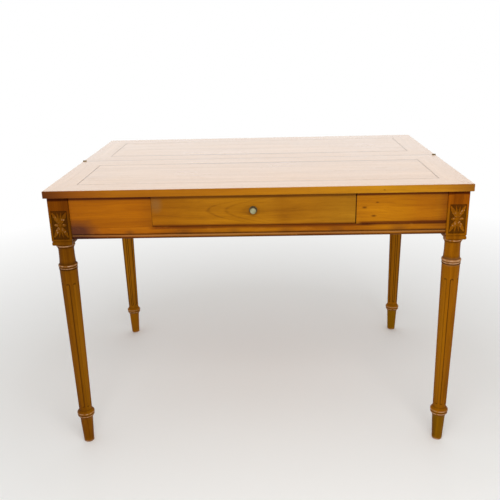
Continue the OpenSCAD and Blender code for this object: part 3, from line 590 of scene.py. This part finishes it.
# painted shade, painted highlights and dirt: where a flute's side is steep (degrees), which side faces away
# from the light, how far up its ends the shade lies, and the widths of the dirty, shaded quirks and the
# highlighted crowns
grimeAndShade = {"steepFrom": 6.0, "steepOver": 3.0, "wall": 0.87, "lightTurn": math.pi / 4, "endReach": 0.004,
         "endDepth": 0.9, "sideDepth": 2.2, "even": 0.42, "swing": 0.5, "quirk": 0.0011, "crown": 0.0019}


def arc(middleRadius, middleHeight, size, start, end, steps=7):
    # points of a round edge, by angles from the outward direction
    points = []
    for step in range(steps + 1):
        angle = math.radians(start + (end - start) * step / steps)
        points.append((middleRadius + size * math.cos(angle), middleHeight + size * math.sin(angle)))
    return points


def turnedOutline():
    # radius and height of the turning from the floor up to the block
    low, top = Vector(leg["footLow"]), Vector(leg["footTop"])
    outline = [(0.0001, 0.0), (0.0123, 0.0), (0.0136, 0.0003)]
    outline += [tuple(low.lerp(top, step / leg["footSteps"])) for step in range(leg["footSteps"] + 1)]
    # lower collar
    outline += [(0.0184, 0.0787), (0.0202, 0.0836), (0.0214, 0.0862)]
    outline += arc(0.0206, 0.0899, 0.0034, -62, 58)
    outline += [(0.0219, 0.0931)]
    outline += arc(0.02, 0.0977, 0.005, -56, 62)
    outline += [(0.0216, 0.1036), (0.0199, 0.107), (0.0187, 0.1093)]
    # fluted shaft, with closer rows round the ends of the flutes
    length = leg["shaftEnd"] - leg["shaftLow"]
    rows = int(length / leg["rowGap"])
    heights = [leg["shaftLow"] + length * row / rows for row in range(rows + 1)]
    for share in leg["endRows"]:
        heights += [leg["fluteTop"] + leg["fluteRadius"][1] * share,
                    leg["fluteLow"] - leg["fluteRadius"][0] * share]
    heights.sort()
    heights = [height for height, after in zip(heights, heights[1:] + [1.0])
               if after - height > leg["leastGap"]]
    outline += [(shaftRadius(height), height) for height in heights]
    # upper collar
    outline += [(0.0245, 0.5474), (0.025, 0.548), (0.025, 0.549), (0.0246, 0.5496)]
    outline += arc(0.0222, 0.5525, 0.0028, -70, 55, 5)
    outline += [(0.0231, 0.5551)]
    outline += arc(0.0222, 0.5585, 0.0038, -58, 62)
    outline += [(0.0231, 0.5622), (0.023, 0.5632), (0.0226, 0.564)]
    # neck, and the ring under the block
    outline += [(0.022, 0.5648), (0.0214, 0.574), (0.0208, 0.585), (0.0208, 0.605)]
    outline += [(0.0213, 0.607), (0.0222, 0.6094), (0.023, 0.6112)]
    outline += arc(0.0212, 0.6155, 0.004, -65, 75)
    outline += [(0.0218, 0.6197), (0.0001, 0.6197)]
    return outline


def between(ends, share):
    return ends[0] + share * (ends[1] - ends[0])


def shaftRadius(height):
    return between(leg["shaftRadius"], (height - leg["shaftLow"]) / (leg["shaftEnd"] - leg["shaftLow"]))


def fluteCut(angle, height, radius):
    # radius left by the nearest flute, an angle away from it
    level = min(leg["fluteTop"], max(leg["fluteLow"], height))
    share = (level - leg["fluteLow"]) / (leg["fluteTop"] - leg["fluteLow"])
    size = between(leg["fluteRadius"], share)
    middle = shaftRadius(level) + size - between(leg["fluteDepth"], share)
    past = max(height - leg["fluteTop"], leg["fluteLow"] - height, 0.0)
    if past >= size:
        return radius
    size = math.sqrt(size * size - past * past)
    side = middle * math.sin(angle)
    if abs(side) >= size:
        return radius
    return min(radius, middle * math.cos(angle) - math.sqrt(size * size - side * side))


def paintedFluteShade(middle, away, height):
    # painted shade on the steep sides of the flutes that face away from the light, and round their ends
    steep = min(1.0, max(0.0, (abs(math.degrees(away)) - grimeAndShade["steepFrom"]) / grimeAndShade["steepOver"]))
    facing = middle - math.copysign(grimeAndShade["wall"], away) + grimeAndShade["lightTurn"]
    side = grimeAndShade["sideDepth"] * steep * (grimeAndShade["even"] - grimeAndShade["swing"] * math.cos(facing))
    past = max(height - leg["fluteTop"], leg["fluteLow"] - height, 0.0)
    end = grimeAndShade["endDepth"] * min(1.0, past / grimeAndShade["endReach"])
    return min(1.0, max(end, side))


def turnedDirtShadeAndGlint(height):
    # dirt and painted shade in the quirks beside the beads, and painted highlights on the crowns of the beads
    dirtAndShade = max(math.exp(-((height - place) / grimeAndShade["quirk"]) ** 2) for place in leg["quirks"])
    rubbedAndGlint = max(math.exp(-((height - place) / grimeAndShade["crown"]) ** 2) for place in leg["crowns"])
    return dirtAndShade, rubbedAndGlint


def turning():
    sector = math.tau / leg["flutes"]
    last = len(landAngles) - 1
    steps = 2 * last
    points = [(radius, 0.0, height) for radius, height in turnedOutline()]
    work = lathe(points, (0, 0, 1), steps * leg["flutes"], leg["merge"])
    hollow, ridge = marks(work)
    for point in work.verts:
        radius, height = math.hypot(point.co.x, point.co.y), point.co.z
        if radius < 10 * hair:
            continue
        # the evenly spun points move to the land angles, counted from the nearest flute
        bearing = math.atan2(point.co.y, point.co.x)
        index = round((bearing % sector) / sector * steps) % steps
        flute = math.floor(bearing / sector + hair) * sector
        if index > last:
            flute += sector
        away = math.radians(landAngles[index] if index <= last else -landAngles[steps - index])
        if leg["shaftLow"] - hair < height < leg["shaftEnd"] + hair:
            cut = fluteCut(away, height, radius)
            if cut < radius - hair:
                point[hollow] = paintedFluteShade(flute, away, height)
                point[ridge] = 0.5 - 0.5 * point[hollow]
            radius = cut
        else:
            point[hollow], point[ridge] = turnedDirtShadeAndGlint(height)
        point.co = (radius * math.cos(flute + away), radius * math.sin(flute + away), height)
    return work


# Carved flower of the sunk panel, worked as a relief on a fine grid

flower = {"across": 0.0419, "up": 0.0779, "cell": 0.00062, "ground": 0.0002, "under": 0.0012,
          "button": 0.006, "buttonHeight": 0.0029, "bulge": 0.8, "ring": 0.0036, "ringWidth": 0.0006,
          "ringDepth": 0.0008, "dimpleWidth": 0.0012, "dimpleDepth": 0.0006,
          "hollowBelow": 0.002, "hollowStart": 1.1, "dirtAndShade": 0.85,
          "ridgeFrom": 0.0017, "ridgeOver": 0.0008, "rubbedAndGlint": 0.25, "glint": 0.52, "glintGain": 3.0,
          "glintScale": 210.0, "smoothing": 0.4, "markScale": 900.0, "markDepth": 0.00008}
# angle from upright, length, width and height of the corner leaves, middle leaves and buds
leaves = ((29, 0.0385, 0.0105, 0.0029), (9, 0.0335, 0.0056, 0.0026), (90, 0.014, 0.0095, 0.0028))
leafForm = {"start": 0.55, "belly": 0.8, "blunt": 0.75, "lobe": 0.13, "lobes": 4.2, "lobeShift": 0.3,
            "edge": 0.42, "crown": 0.55, "veinWidth": 0.0006, "veinDepth": 0.35, "tipVein": 0.1, "tip": 0.9,
            "ribDepth": 0.1, "ribGap": 0.003, "ribSlant": 0.9, "pointed": 8}


def leafHeight(x, y, angle, length, width, height):
    # height of one lobed and veined leaf that points away from the button at an angle from upright
    form = leafForm
    start = flower["button"] * form["start"]
    sine, cosine = math.sin(math.radians(angle)), math.cos(math.radians(angle))
    along = (x * sine + y * cosine - start) / length
    aside = abs(x * cosine - y * sine)
    if not 0.0 < along < 1.0:
        return 0.0
    half = width / 2 * math.sin(math.pi * along ** form["belly"]) ** form["blunt"]
    half *= 1.0 + form["lobe"] * math.cos(math.tau * (along * form["lobes"] + form["lobeShift"]))
    if half < hair / 10 or aside >= half:
        return 0.0
    crown = math.sqrt(1.0 - (aside / half) ** 2)
    depth = form["veinDepth"] if along < form["tip"] else form["tipVein"]
    vein = math.exp(-(aside / form["veinWidth"]) ** 2) * depth
    ribs = form["ribDepth"] * math.cos(
        math.tau * (along * length - aside * form["ribSlant"]) / form["ribGap"])
    relief = form["edge"] + form["crown"] * crown - vein + ribs * (1 - crown * 0.5)
    return height * relief * min(1.0, form["pointed"] * (1 - along))


def flowerHeight(x, y):
    reach = math.hypot(x, y)
    if reach < flower["button"]:
        dome = math.sqrt(1.0 - (reach / flower["button"]) ** 2 * flower["bulge"])
        groove = math.exp(-((reach - flower["ring"]) / flower["ringWidth"]) ** 2) * flower["ringDepth"]
        dimple = math.exp(-(reach / flower["dimpleWidth"]) ** 2) * flower["dimpleDepth"]
        return flower["buttonHeight"] * dome - groove - dimple
    height = flower["ground"]
    for angle, *form in leaves:
        for way in (angle, -angle, 180 + angle, 180 - angle):
            height = max(height, leafHeight(x, y, way, *form))
    return height


def carvedTile():
    # lies on z 0 with the flower upwards, up is +y
    work = bmesh.new()
    columns = int(flower["across"] / flower["cell"])
    rows = int(flower["up"] / flower["cell"])
    bmesh.ops.create_grid(work, x_segments=columns, y_segments=rows, size=0.5)
    bmesh.ops.scale(work, vec=(flower["across"], flower["up"], 1), verts=work.verts)
    hollow, ridge = marks(work)
    for point in work.verts:
        point.co.z = flowerHeight(point.co.x, point.co.y)
    inner = [point for point in work.verts if not point.is_boundary]
    bmesh.ops.smooth_vert(work, verts=inner, factor=flower["smoothing"], use_axis_z=True)
    for point in work.verts:
        # the hollows darken with dirt and painted shade
        sunk = flower["hollowStart"] - point.co.z / flower["hollowBelow"]
        point[hollow] = flower["dirtAndShade"] * min(1.0, max(0.0, sunk))
        # paler raised parts: partly wear, partly painted glints
        glint = min(1.0, max(0.0, noise.noise(point.co * flower["glintScale"]) * flower["glintGain"]))
        raised = min(1.0, max(0.0, (point.co.z - flower["ridgeFrom"]) / flower["ridgeOver"]))
        point[ridge] = raised * (flower["rubbedAndGlint"] + flower["glint"] * glint)
        point.co.z += noise.noise(point.co * flower["markScale"]) * flower["markDepth"]
    rim = [edge for edge in work.edges if edge.is_boundary]
    grown = bmesh.ops.extrude_edge_only(work, edges=rim)["geom"]
    low = [item for item in grown if isinstance(item, bmesh.types.BMVert)]
    for point in low:
        point.co.z = -flower["under"]
        point[hollow] = 1.0
    bmesh.ops.holes_fill(work, edges=[edge for edge in work.edges if edge.is_boundary], sides=0)
    bmesh.ops.recalc_face_normals(work, faces=work.faces)
    return meshOf("carved flower", work)


def grow(work, face, up, size):
    # draws the top face upwards and sets its half width
    fresh = bmesh.ops.extrude_face_region(work, geom=[face])["geom"]
    top = next(item for item in fresh if isinstance(item, bmesh.types.BMFace))
    work.faces.remove(face)
    for point in top.verts:
        point.co = Vector((math.copysign(size, point.co.x), math.copysign(size, point.co.y), point.co.z + up))
    return top


def block(top):
    # the square block, its band line all round and a sunk panel on its -Y and -X faces
    half, low, line = leg["blockHalf"], leg["blockLow"], leg["bandLine"]
    work = bmesh.new()
    bmesh.ops.create_grid(work, x_segments=1, y_segments=1, size=half)
    move(work, (0, 0, low))
    lid = bmesh.ops.duplicate(work, geom=work.faces[:])["geom"]
    face = next(item for item in lid if isinstance(item, bmesh.types.BMFace))
    # the band is half round, its crown in line with the block
    drawnIn = (half - leg["bandRound"]) / half
    bmesh.ops.scale(work, vec=(drawnIn, drawnIn, 1), verts=work.verts)
    rise = 0.0
    for step in range(1, leg["bandSteps"] + 1):
        angle = math.pi * step / leg["bandSteps"]
        fresh = leg["bandUp"] * (1 - math.cos(angle)) / 2
        face = grow(work, face, fresh - rise, half - leg["bandRound"] * (1 - math.sin(angle)))
        rise = fresh
    face = grow(work, face, 0.0, half - line)
    face = grow(work, face, line, half - line)
    face = grow(work, face, 0.0, half)
    grow(work, face, top - low - leg["bandUp"] - line, half)
    bmesh.ops.remove_doubles(work, verts=work.verts, dist=merge)
    panelLow = low + leg["panelUp"]
    panelTop = panelLow + 2 * leg["panelHalfHeight"]
    side = leg["panelHalfWidth"]
    for axis, reach in ((0, -side), (0, side), (1, -side), (1, side), (2, panelLow), (2, panelTop)):
        across = Vector((0, 0, 0))
        across[axis] = 1.0
        bmesh.ops.bisect_plane(work, geom=work.verts[:] + work.edges[:] + work.faces[:], dist=1e-7,
                               plane_co=across * reach, plane_no=across)
    bmesh.ops.recalc_face_normals(work, faces=work.faces)
    for outward in (Vector((0, -1, 0)), Vector((-1, 0, 0))):
        middle = outward * half + Vector((0, 0, (panelLow + panelTop) / 2))
        panel = min(work.faces, key=lambda face: (face.calc_center_median() - middle).length)
        sunk = bmesh.ops.extrude_face_region(work, geom=[panel])["geom"]
        bmesh.ops.translate(work, vec=outward * -leg["panelDepth"],
                            verts=[item for item in sunk if isinstance(item, bmesh.types.BMVert)])
        if panel.is_valid:
            bmesh.ops.delete(work, geom=[panel], context="FACES_ONLY")
    bmesh.ops.dissolve_limit(work, angle_limit=flatAngle, verts=work.verts, edges=work.edges)
    # only the arrises above the band line are eased
    shoulder = low + leg["bandUp"] + 2.5 * line
    soften(work, leg["ease"], leg["easeSteps"],
           lambda middle: max(abs(middle.x), abs(middle.y)) > half - hair and middle.z > shoulder)
    return work


def cutAway(work, cutters):
    # the mesh less each cutter
    body = linked("being cut", meshOf("being cut", work))
    tools = [linked("cutter", meshOf("cutter", cutter)) for cutter in cutters]
    for tool in tools:
        step = body.modifiers.new("cut", "BOOLEAN")
        step.operation = "DIFFERENCE"
        step.solver = "EXACT"
        step.object = tool
    bpy.context.view_layer.update()
    ready = body.evaluated_get(bpy.context.evaluated_depsgraph_get())
    result = bmesh.new()
    result.from_mesh(ready.to_mesh())
    ready.to_mesh_clear()
    for item in [body] + tools:
        bpy.data.objects.remove(item)
    return result


sideHinge = {"pinX": 0.52, "pinY": 0.3416, "low": 0.6545, "high": 0.7305, "room": 0.0036,
             "sides": 32, "slack": 0.0006, "plateWidth": 0.014, "plateDepth": 0.0019}


def hingeRoom(legX, legY):
    # cutters for the rear hinge, in the frame of a rear leg that stands turned half round
    length = sideHinge["high"] - sideHinge["low"]
    height = (sideHinge["low"] + sideHinge["high"]) / 2
    bar = bmesh.new()
    bmesh.ops.create_cone(bar, cap_ends=True, segments=sideHinge["sides"], radius1=sideHinge["room"],
                          radius2=sideHinge["room"], depth=length + sideHinge["slack"])
    plate = cuboid(sideHinge["plateWidth"], 2 * sideHinge["plateDepth"], length)
    move(plate, (sideHinge["plateWidth"] / 2, 0, 0))
    for cutter in (bar, plate):
        move(cutter, (sideHinge["pinX"] - legX, sideHinge["pinY"] - legY, height))
        turn(cutter, math.pi, "Z")
    return [bar, plate]


def fullLeg(node, tile, shaft):
    low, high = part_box(node)
    rear = "rear" in node
    flip = ("right" in node) != rear
    middle = Vector(((low.x + high.x) / 2, (low.y + high.y) / 2, 0))
    work = block(high.z)
    if rear:
        work = cutAway(work, hingeRoom(abs(middle.x), middle.y))
    marks(work)
    work.from_mesh(shaft)
    panelMiddle = leg["blockLow"] + leg["panelUp"] + leg["panelHalfHeight"]
    floorOut = leg["blockHalf"] - leg["panelDepth"]
    for about in (0, -math.pi / 2):
        before = len(work.verts)
        work.from_mesh(tile)
        work.verts.ensure_lookup_table()
        fresh = work.verts[before:]
        stand = (Matrix.Rotation(about, 4, "Z") @ Matrix.Translation((0, -floorOut, panelMiddle))
                 @ Matrix.Rotation(math.pi / 2, 4, "X"))
        bmesh.ops.transform(work, matrix=stand, verts=fresh)
    place = Matrix.Translation(middle)
    if rear:
        place = place @ Matrix.Rotation(math.pi, 4, "Z")
    if flip:
        place = place @ Matrix.Scale(-1, 4, (1, 0, 0))
    bmesh.ops.transform(work, matrix=place, verts=work.verts)
    if flip:
        bmesh.ops.reverse_faces(work, faces=work.faces)
    landed(node + "-turned", work, "turned leg walnut", node, leg["crease"])


tileMesh = carvedTile()
shaftMesh = meshOf("turned shaft", turning())
for corner in ("leg_front_left", "leg_front_right", "leg_rear_left", "leg_rear_right"):
    fullLeg(corner, tileMesh, shaftMesh)
print("legs turned and carved")


# Apron, drawer case and folding sides: the solids with eased arrises

caseFinish = {
    "rail walnut": ["front_rail"], "front left frieze walnut": ["frieze_left"],
    "front right frieze walnut": ["frieze_right"], "drawer walnut": ["drawer_front"],
    "side walnut": ["side_left", "side_right"],
    "folding side walnut": ["fold_left_a", "fold_left_b", "fold_right_a", "fold_right_b"],
    "rear rail walnut": ["rear_apron"], "inner fir along": ["back_rail", "drawer_back", "drawer_bottom"],
    "inner fir across": ["runner_left", "runner_right", "guide_left", "guide_right", "kicker_left",
                         "kicker_right", "drawer_side_left", "drawer_side_right"],
    "inner fir upright": ["glue_blocks", "rear_glue_blocks"]}
caseEase = {"walnut": 0.0006, "fir": 0.0008}
for finish, group in caseFinish.items():
    for node in group:
        work = solidCopy(node)
        soften(work, caseEase["walnut" if "walnut" in finish else "fir"])
        landed(node + "-eased", work, finish, node)
print("case eased")


# Top: two leaves, each a board in mitred borders with a dark line between

top = {"height": 0.77, "halfWidth": 0.55, "depth": 0.4, "rim": 0.002, "skin": 0.0002,
       "outerEase": 0.0007, "outerSharper": 30, "jointEase": 0.00012, "jointSharper": 50}
frontLeaf = {"top_board": "top board walnut", "top_edge": "front border walnut",
             "top_seam": "long border walnut", "top_left": "end border walnut",
             "top_right": "end border walnut", "line": "dark stringing"}
rearLeaf = {**frontLeaf, "top_board": "rear board walnut", "top_edge": "long border walnut"}


def onRim(middle):
    # whether a point lies on the outer rim of the open top
    return abs(middle.x) > top["halfWidth"] - top["rim"] or abs(middle.y) > top["depth"] - top["rim"]


def markFadedAndSheen(work):
    # marks the points of the playing surface
    faded = work.verts.layers.float.new("faded")
    for point in work.verts:
        point[faded] = 1.0 if point.co.z > top["height"] - top["skin"] else 0.0


for leaf, parts in (("_front", frontLeaf), ("_rear", rearLeaf)):
    for part, finish in parts.items():
        work = solidCopy(part + leaf)
        if part in ("line", "top_board"):
            soften(work, top["jointEase"], 1)
        else:
            soften(work, top["outerEase"], 2, onRim, top["outerSharper"])
            soften(work, top["jointEase"], 1, lambda middle: not onRim(middle), top["jointSharper"])
        markFadedAndSheen(work)
        landed(part + leaf + "-polished", work, finish, part + leaf)
print("top polished")


# Drawer knob and its rose, spun about the stem

knob = {"x": -0.0095, "z": 0.7081, "steps": 64, "merge": 3e-5, "crease": 50, "roseCrease": 40}
# outlines in millimetres: radius, and reach from the drawer front
knobOutline = [(0.1, -8), (2.5, -8), (2.5, 1.8), (4.9, 1.8), (4.9, 2.1), (4.4, 2.7), (3.8, 3.8),
               (3.6, 5.2), (3.7, 6.3), (4.3, 7.4), (5.5, 8.4), (6.8, 9.1), (7.6, 9.7), (8, 10.4),
               (8, 11.1), (7.8, 11.9), (7.1, 12.6), (6, 13), (4.6, 13.2), (3, 13.3), (1.4, 13.4),
               (0.1, 13.4)]
roseOutline = [(2.6, 0), (10.3, 0), (10.5, 0.2), (10.4, 0.6), (10, 1), (9.4, 1.2), (8.8, 1.3), (8.4, 1.2),
               (8.1, 1.1), (7.8, 1.2), (7.2, 1.5), (6.4, 1.6), (2.6, 1.6)]


def spun(outline, closed=False):
    points = [(radius / 1000, -reach / 1000, 0.0) for radius, reach in outline]
    work = lathe(points, (0, 1, 0), knob["steps"], knob["merge"], closed)
    move(work, (knob["x"], frontFace, knob["z"]))
    return work


landed("knob-spun", spun(knobOutline), "knob brass", "knob", knob["crease"])
landed("knob_rose-spun", spun(roseOutline, True), "rose brass", "knob_rose", knob["roseCrease"])
print("knob turned")


# Hinges: knuckles and plates eased, with slotted screws in the plates at the ends of the top

filed = {"ease": 0.00018, "sharper": 50, "crease": 30}
for node in nodes:
    if "hinges" in node or "pin" in node:
        work = solidCopy(node)
        soften(work, filed["ease"], 1, None, filed["sharper"])
        landed(node + "-filed", work, "hinge brass", node, filed["crease"])

screw = {"radius": 0.0031, "taper": 0.86, "sides": 32, "rise": 0.00015, "depth": 0.0012, "ease": 0.0002,
         "sharper": 57, "slotWidth": 0.0008, "slotDepth": 0.0006, "places": (0.022, 0.038, 0.054),
         "height": 0.7605, "crease": 40, "seed": 17}


def slottedHead(angle):
    # a flat head lying in the x direction, its slot turned by an angle
    head = bmesh.new()
    bmesh.ops.create_cone(head, cap_ends=True, segments=screw["sides"], depth=screw["depth"],
                          radius1=screw["radius"] * screw["taper"], radius2=screw["radius"])
    soften(head, screw["ease"], 2, lambda middle: middle.z > 0, screw["sharper"])
    slot = cuboid(screw["radius"] * 3, screw["slotWidth"], screw["slotDepth"] * 2)
    move(slot, (0, 0, screw["depth"] / 2))
    turn(slot, angle, "Z")
    head = cutAway(head, [slot])
    turn(head, math.pi / 2, "Y")
    return head


random.seed(screw["seed"])
for side in (-1, 1):
    for leaf, node in ((-1, "leaf_hinges_fixed"), (1, "leaf_hinges_moving")):
        row = bmesh.new()
        for place in screw["places"]:
            head = slottedHead(random.uniform(0, math.pi))
            out = top["halfWidth"] + screw["rise"] - screw["depth"] / 2
            if side < 0:
                turn(head, math.pi, "Z")
            move(head, (side * out, leaf * place, screw["height"]))
            row.from_mesh(meshOf("screw", head))
        label = ("left" if side < 0 else "right") + ("-fixed" if leaf < 0 else "-moving")
        landed("hinge-screws-" + label, row, "hinge brass", node, screw["crease"], False)
print("hinges filed and screwed")


# Floor, light and camera

studio = {"floorSize": 60.0, "floorTone": (0.93, 0.93, 0.91), "floorRough": 0.8, "fadeFrom": 0.8,
          "fadeTo": 2.4, "air": 0.62}
key = {"place": (0.15, -1.55, 1.45), "aim": (0.05, -0.3, 0.5), "size": (1.5, 1.1), "power": 15.6}
sheen = {"place": (0.0, 3.2, 1.9), "aim": (0.0, 0.0, 0.77), "size": (4.0, 1.8), "power": 16.5}


def studioFloor():
    finish = Finish("studio floor")
    place = finish.wire(finish.node("ShaderNodeTexCoord"), "Object")
    away = finish.length(place)
    fade = finish.remap(away, studio["fadeFrom"], studio["fadeTo"])
    matt = finish.node("ShaderNodeBsdfPrincipled", None, {
        "Base Color": (*studio["floorTone"], 1), "Roughness": studio["floorRough"]})
    white = finish.node("ShaderNodeEmission", None, {"Color": (1, 1, 1, 1), "Strength": 1.0})
    mixed = finish.node("ShaderNodeMixShader", None, {
        0: fade, 1: finish.wire(matt), 2: finish.wire(white)})
    finish.node("ShaderNodeOutputMaterial", None, {"Surface": finish.wire(mixed)})


work = bmesh.new()
bmesh.ops.create_grid(work, x_segments=1, y_segments=1, size=studio["floorSize"] / 2)
mesh = meshOf("studio floor", work)
studioFloor()
mesh.materials.append(finishes["studio floor"])
floor = linked("studio floor", mesh)

world = bpy.data.worlds.new("studio")
bpy.context.scene.world = world
world.use_nodes = True
air = Finish("studio air", world.node_tree)
rays = air.node("ShaderNodeLightPath")
straight = air.wire(rays, "Is Camera Ray")
seen = straight.maths("MAXIMUM", straight, air.wire(rays, "Is Glossy Ray"))
dim = air.node("ShaderNodeBackground", None, {"Color": (1, 1, 1, 1), "Strength": studio["air"]})
white = air.node("ShaderNodeBackground", None, {"Color": (1, 1, 1, 1), "Strength": 1.0})
mixed = air.node("ShaderNodeMixShader", None, {0: seen, 1: air.wire(dim), 2: air.wire(white)})
air.node("ShaderNodeOutputWorld", None, {"Surface": air.wire(mixed)})


def softbox(name, box):
    lamp = bpy.data.lights.new(name, "AREA")
    lamp.shape = "RECTANGLE"
    lamp.size, lamp.size_y = box["size"]
    lamp.energy = box["power"]
    made = linked(name, lamp)
    made.location = box["place"]
    made.rotation_euler = (Vector(box["aim"]) - Vector(box["place"])).to_track_quat("-Z", "Y").to_euler()
    return made


keyLamp = softbox("key softbox", key)
keyLamp.visible_glossy = False    # its mirror image would burn out a patch of the top, seen from behind
softbox("sheen softbox", sheen)

view = {"place": (0.0291, -1.99669, 1.14965), "turn": -0.03059, "down": 0.32937, "roll": -0.02479,
        "lens": 46.41, "sensor": 36.0}
forward = Vector((math.sin(view["turn"]) * math.cos(view["down"]),
                  math.cos(view["turn"]) * math.cos(view["down"]), -math.sin(view["down"])))
level = Vector((math.cos(view["turn"]), -math.sin(view["turn"]), 0))
upward = level.cross(forward)
right = level * math.cos(view["roll"]) + upward * math.sin(view["roll"])
upward = upward * math.cos(view["roll"]) - level * math.sin(view["roll"])
lens = bpy.data.cameras.new("photo camera")
lens.lens = view["lens"]
lens.sensor_width = view["sensor"]
camera = linked("photo camera", lens)
turned = Matrix((right, upward, -forward)).transposed().to_4x4()
camera.matrix_world = Matrix.Translation(view["place"]) @ turned
bpy.context.scene.camera = camera
bpy.context.scene.view_settings.view_transform = "Standard"
print("studio ready")
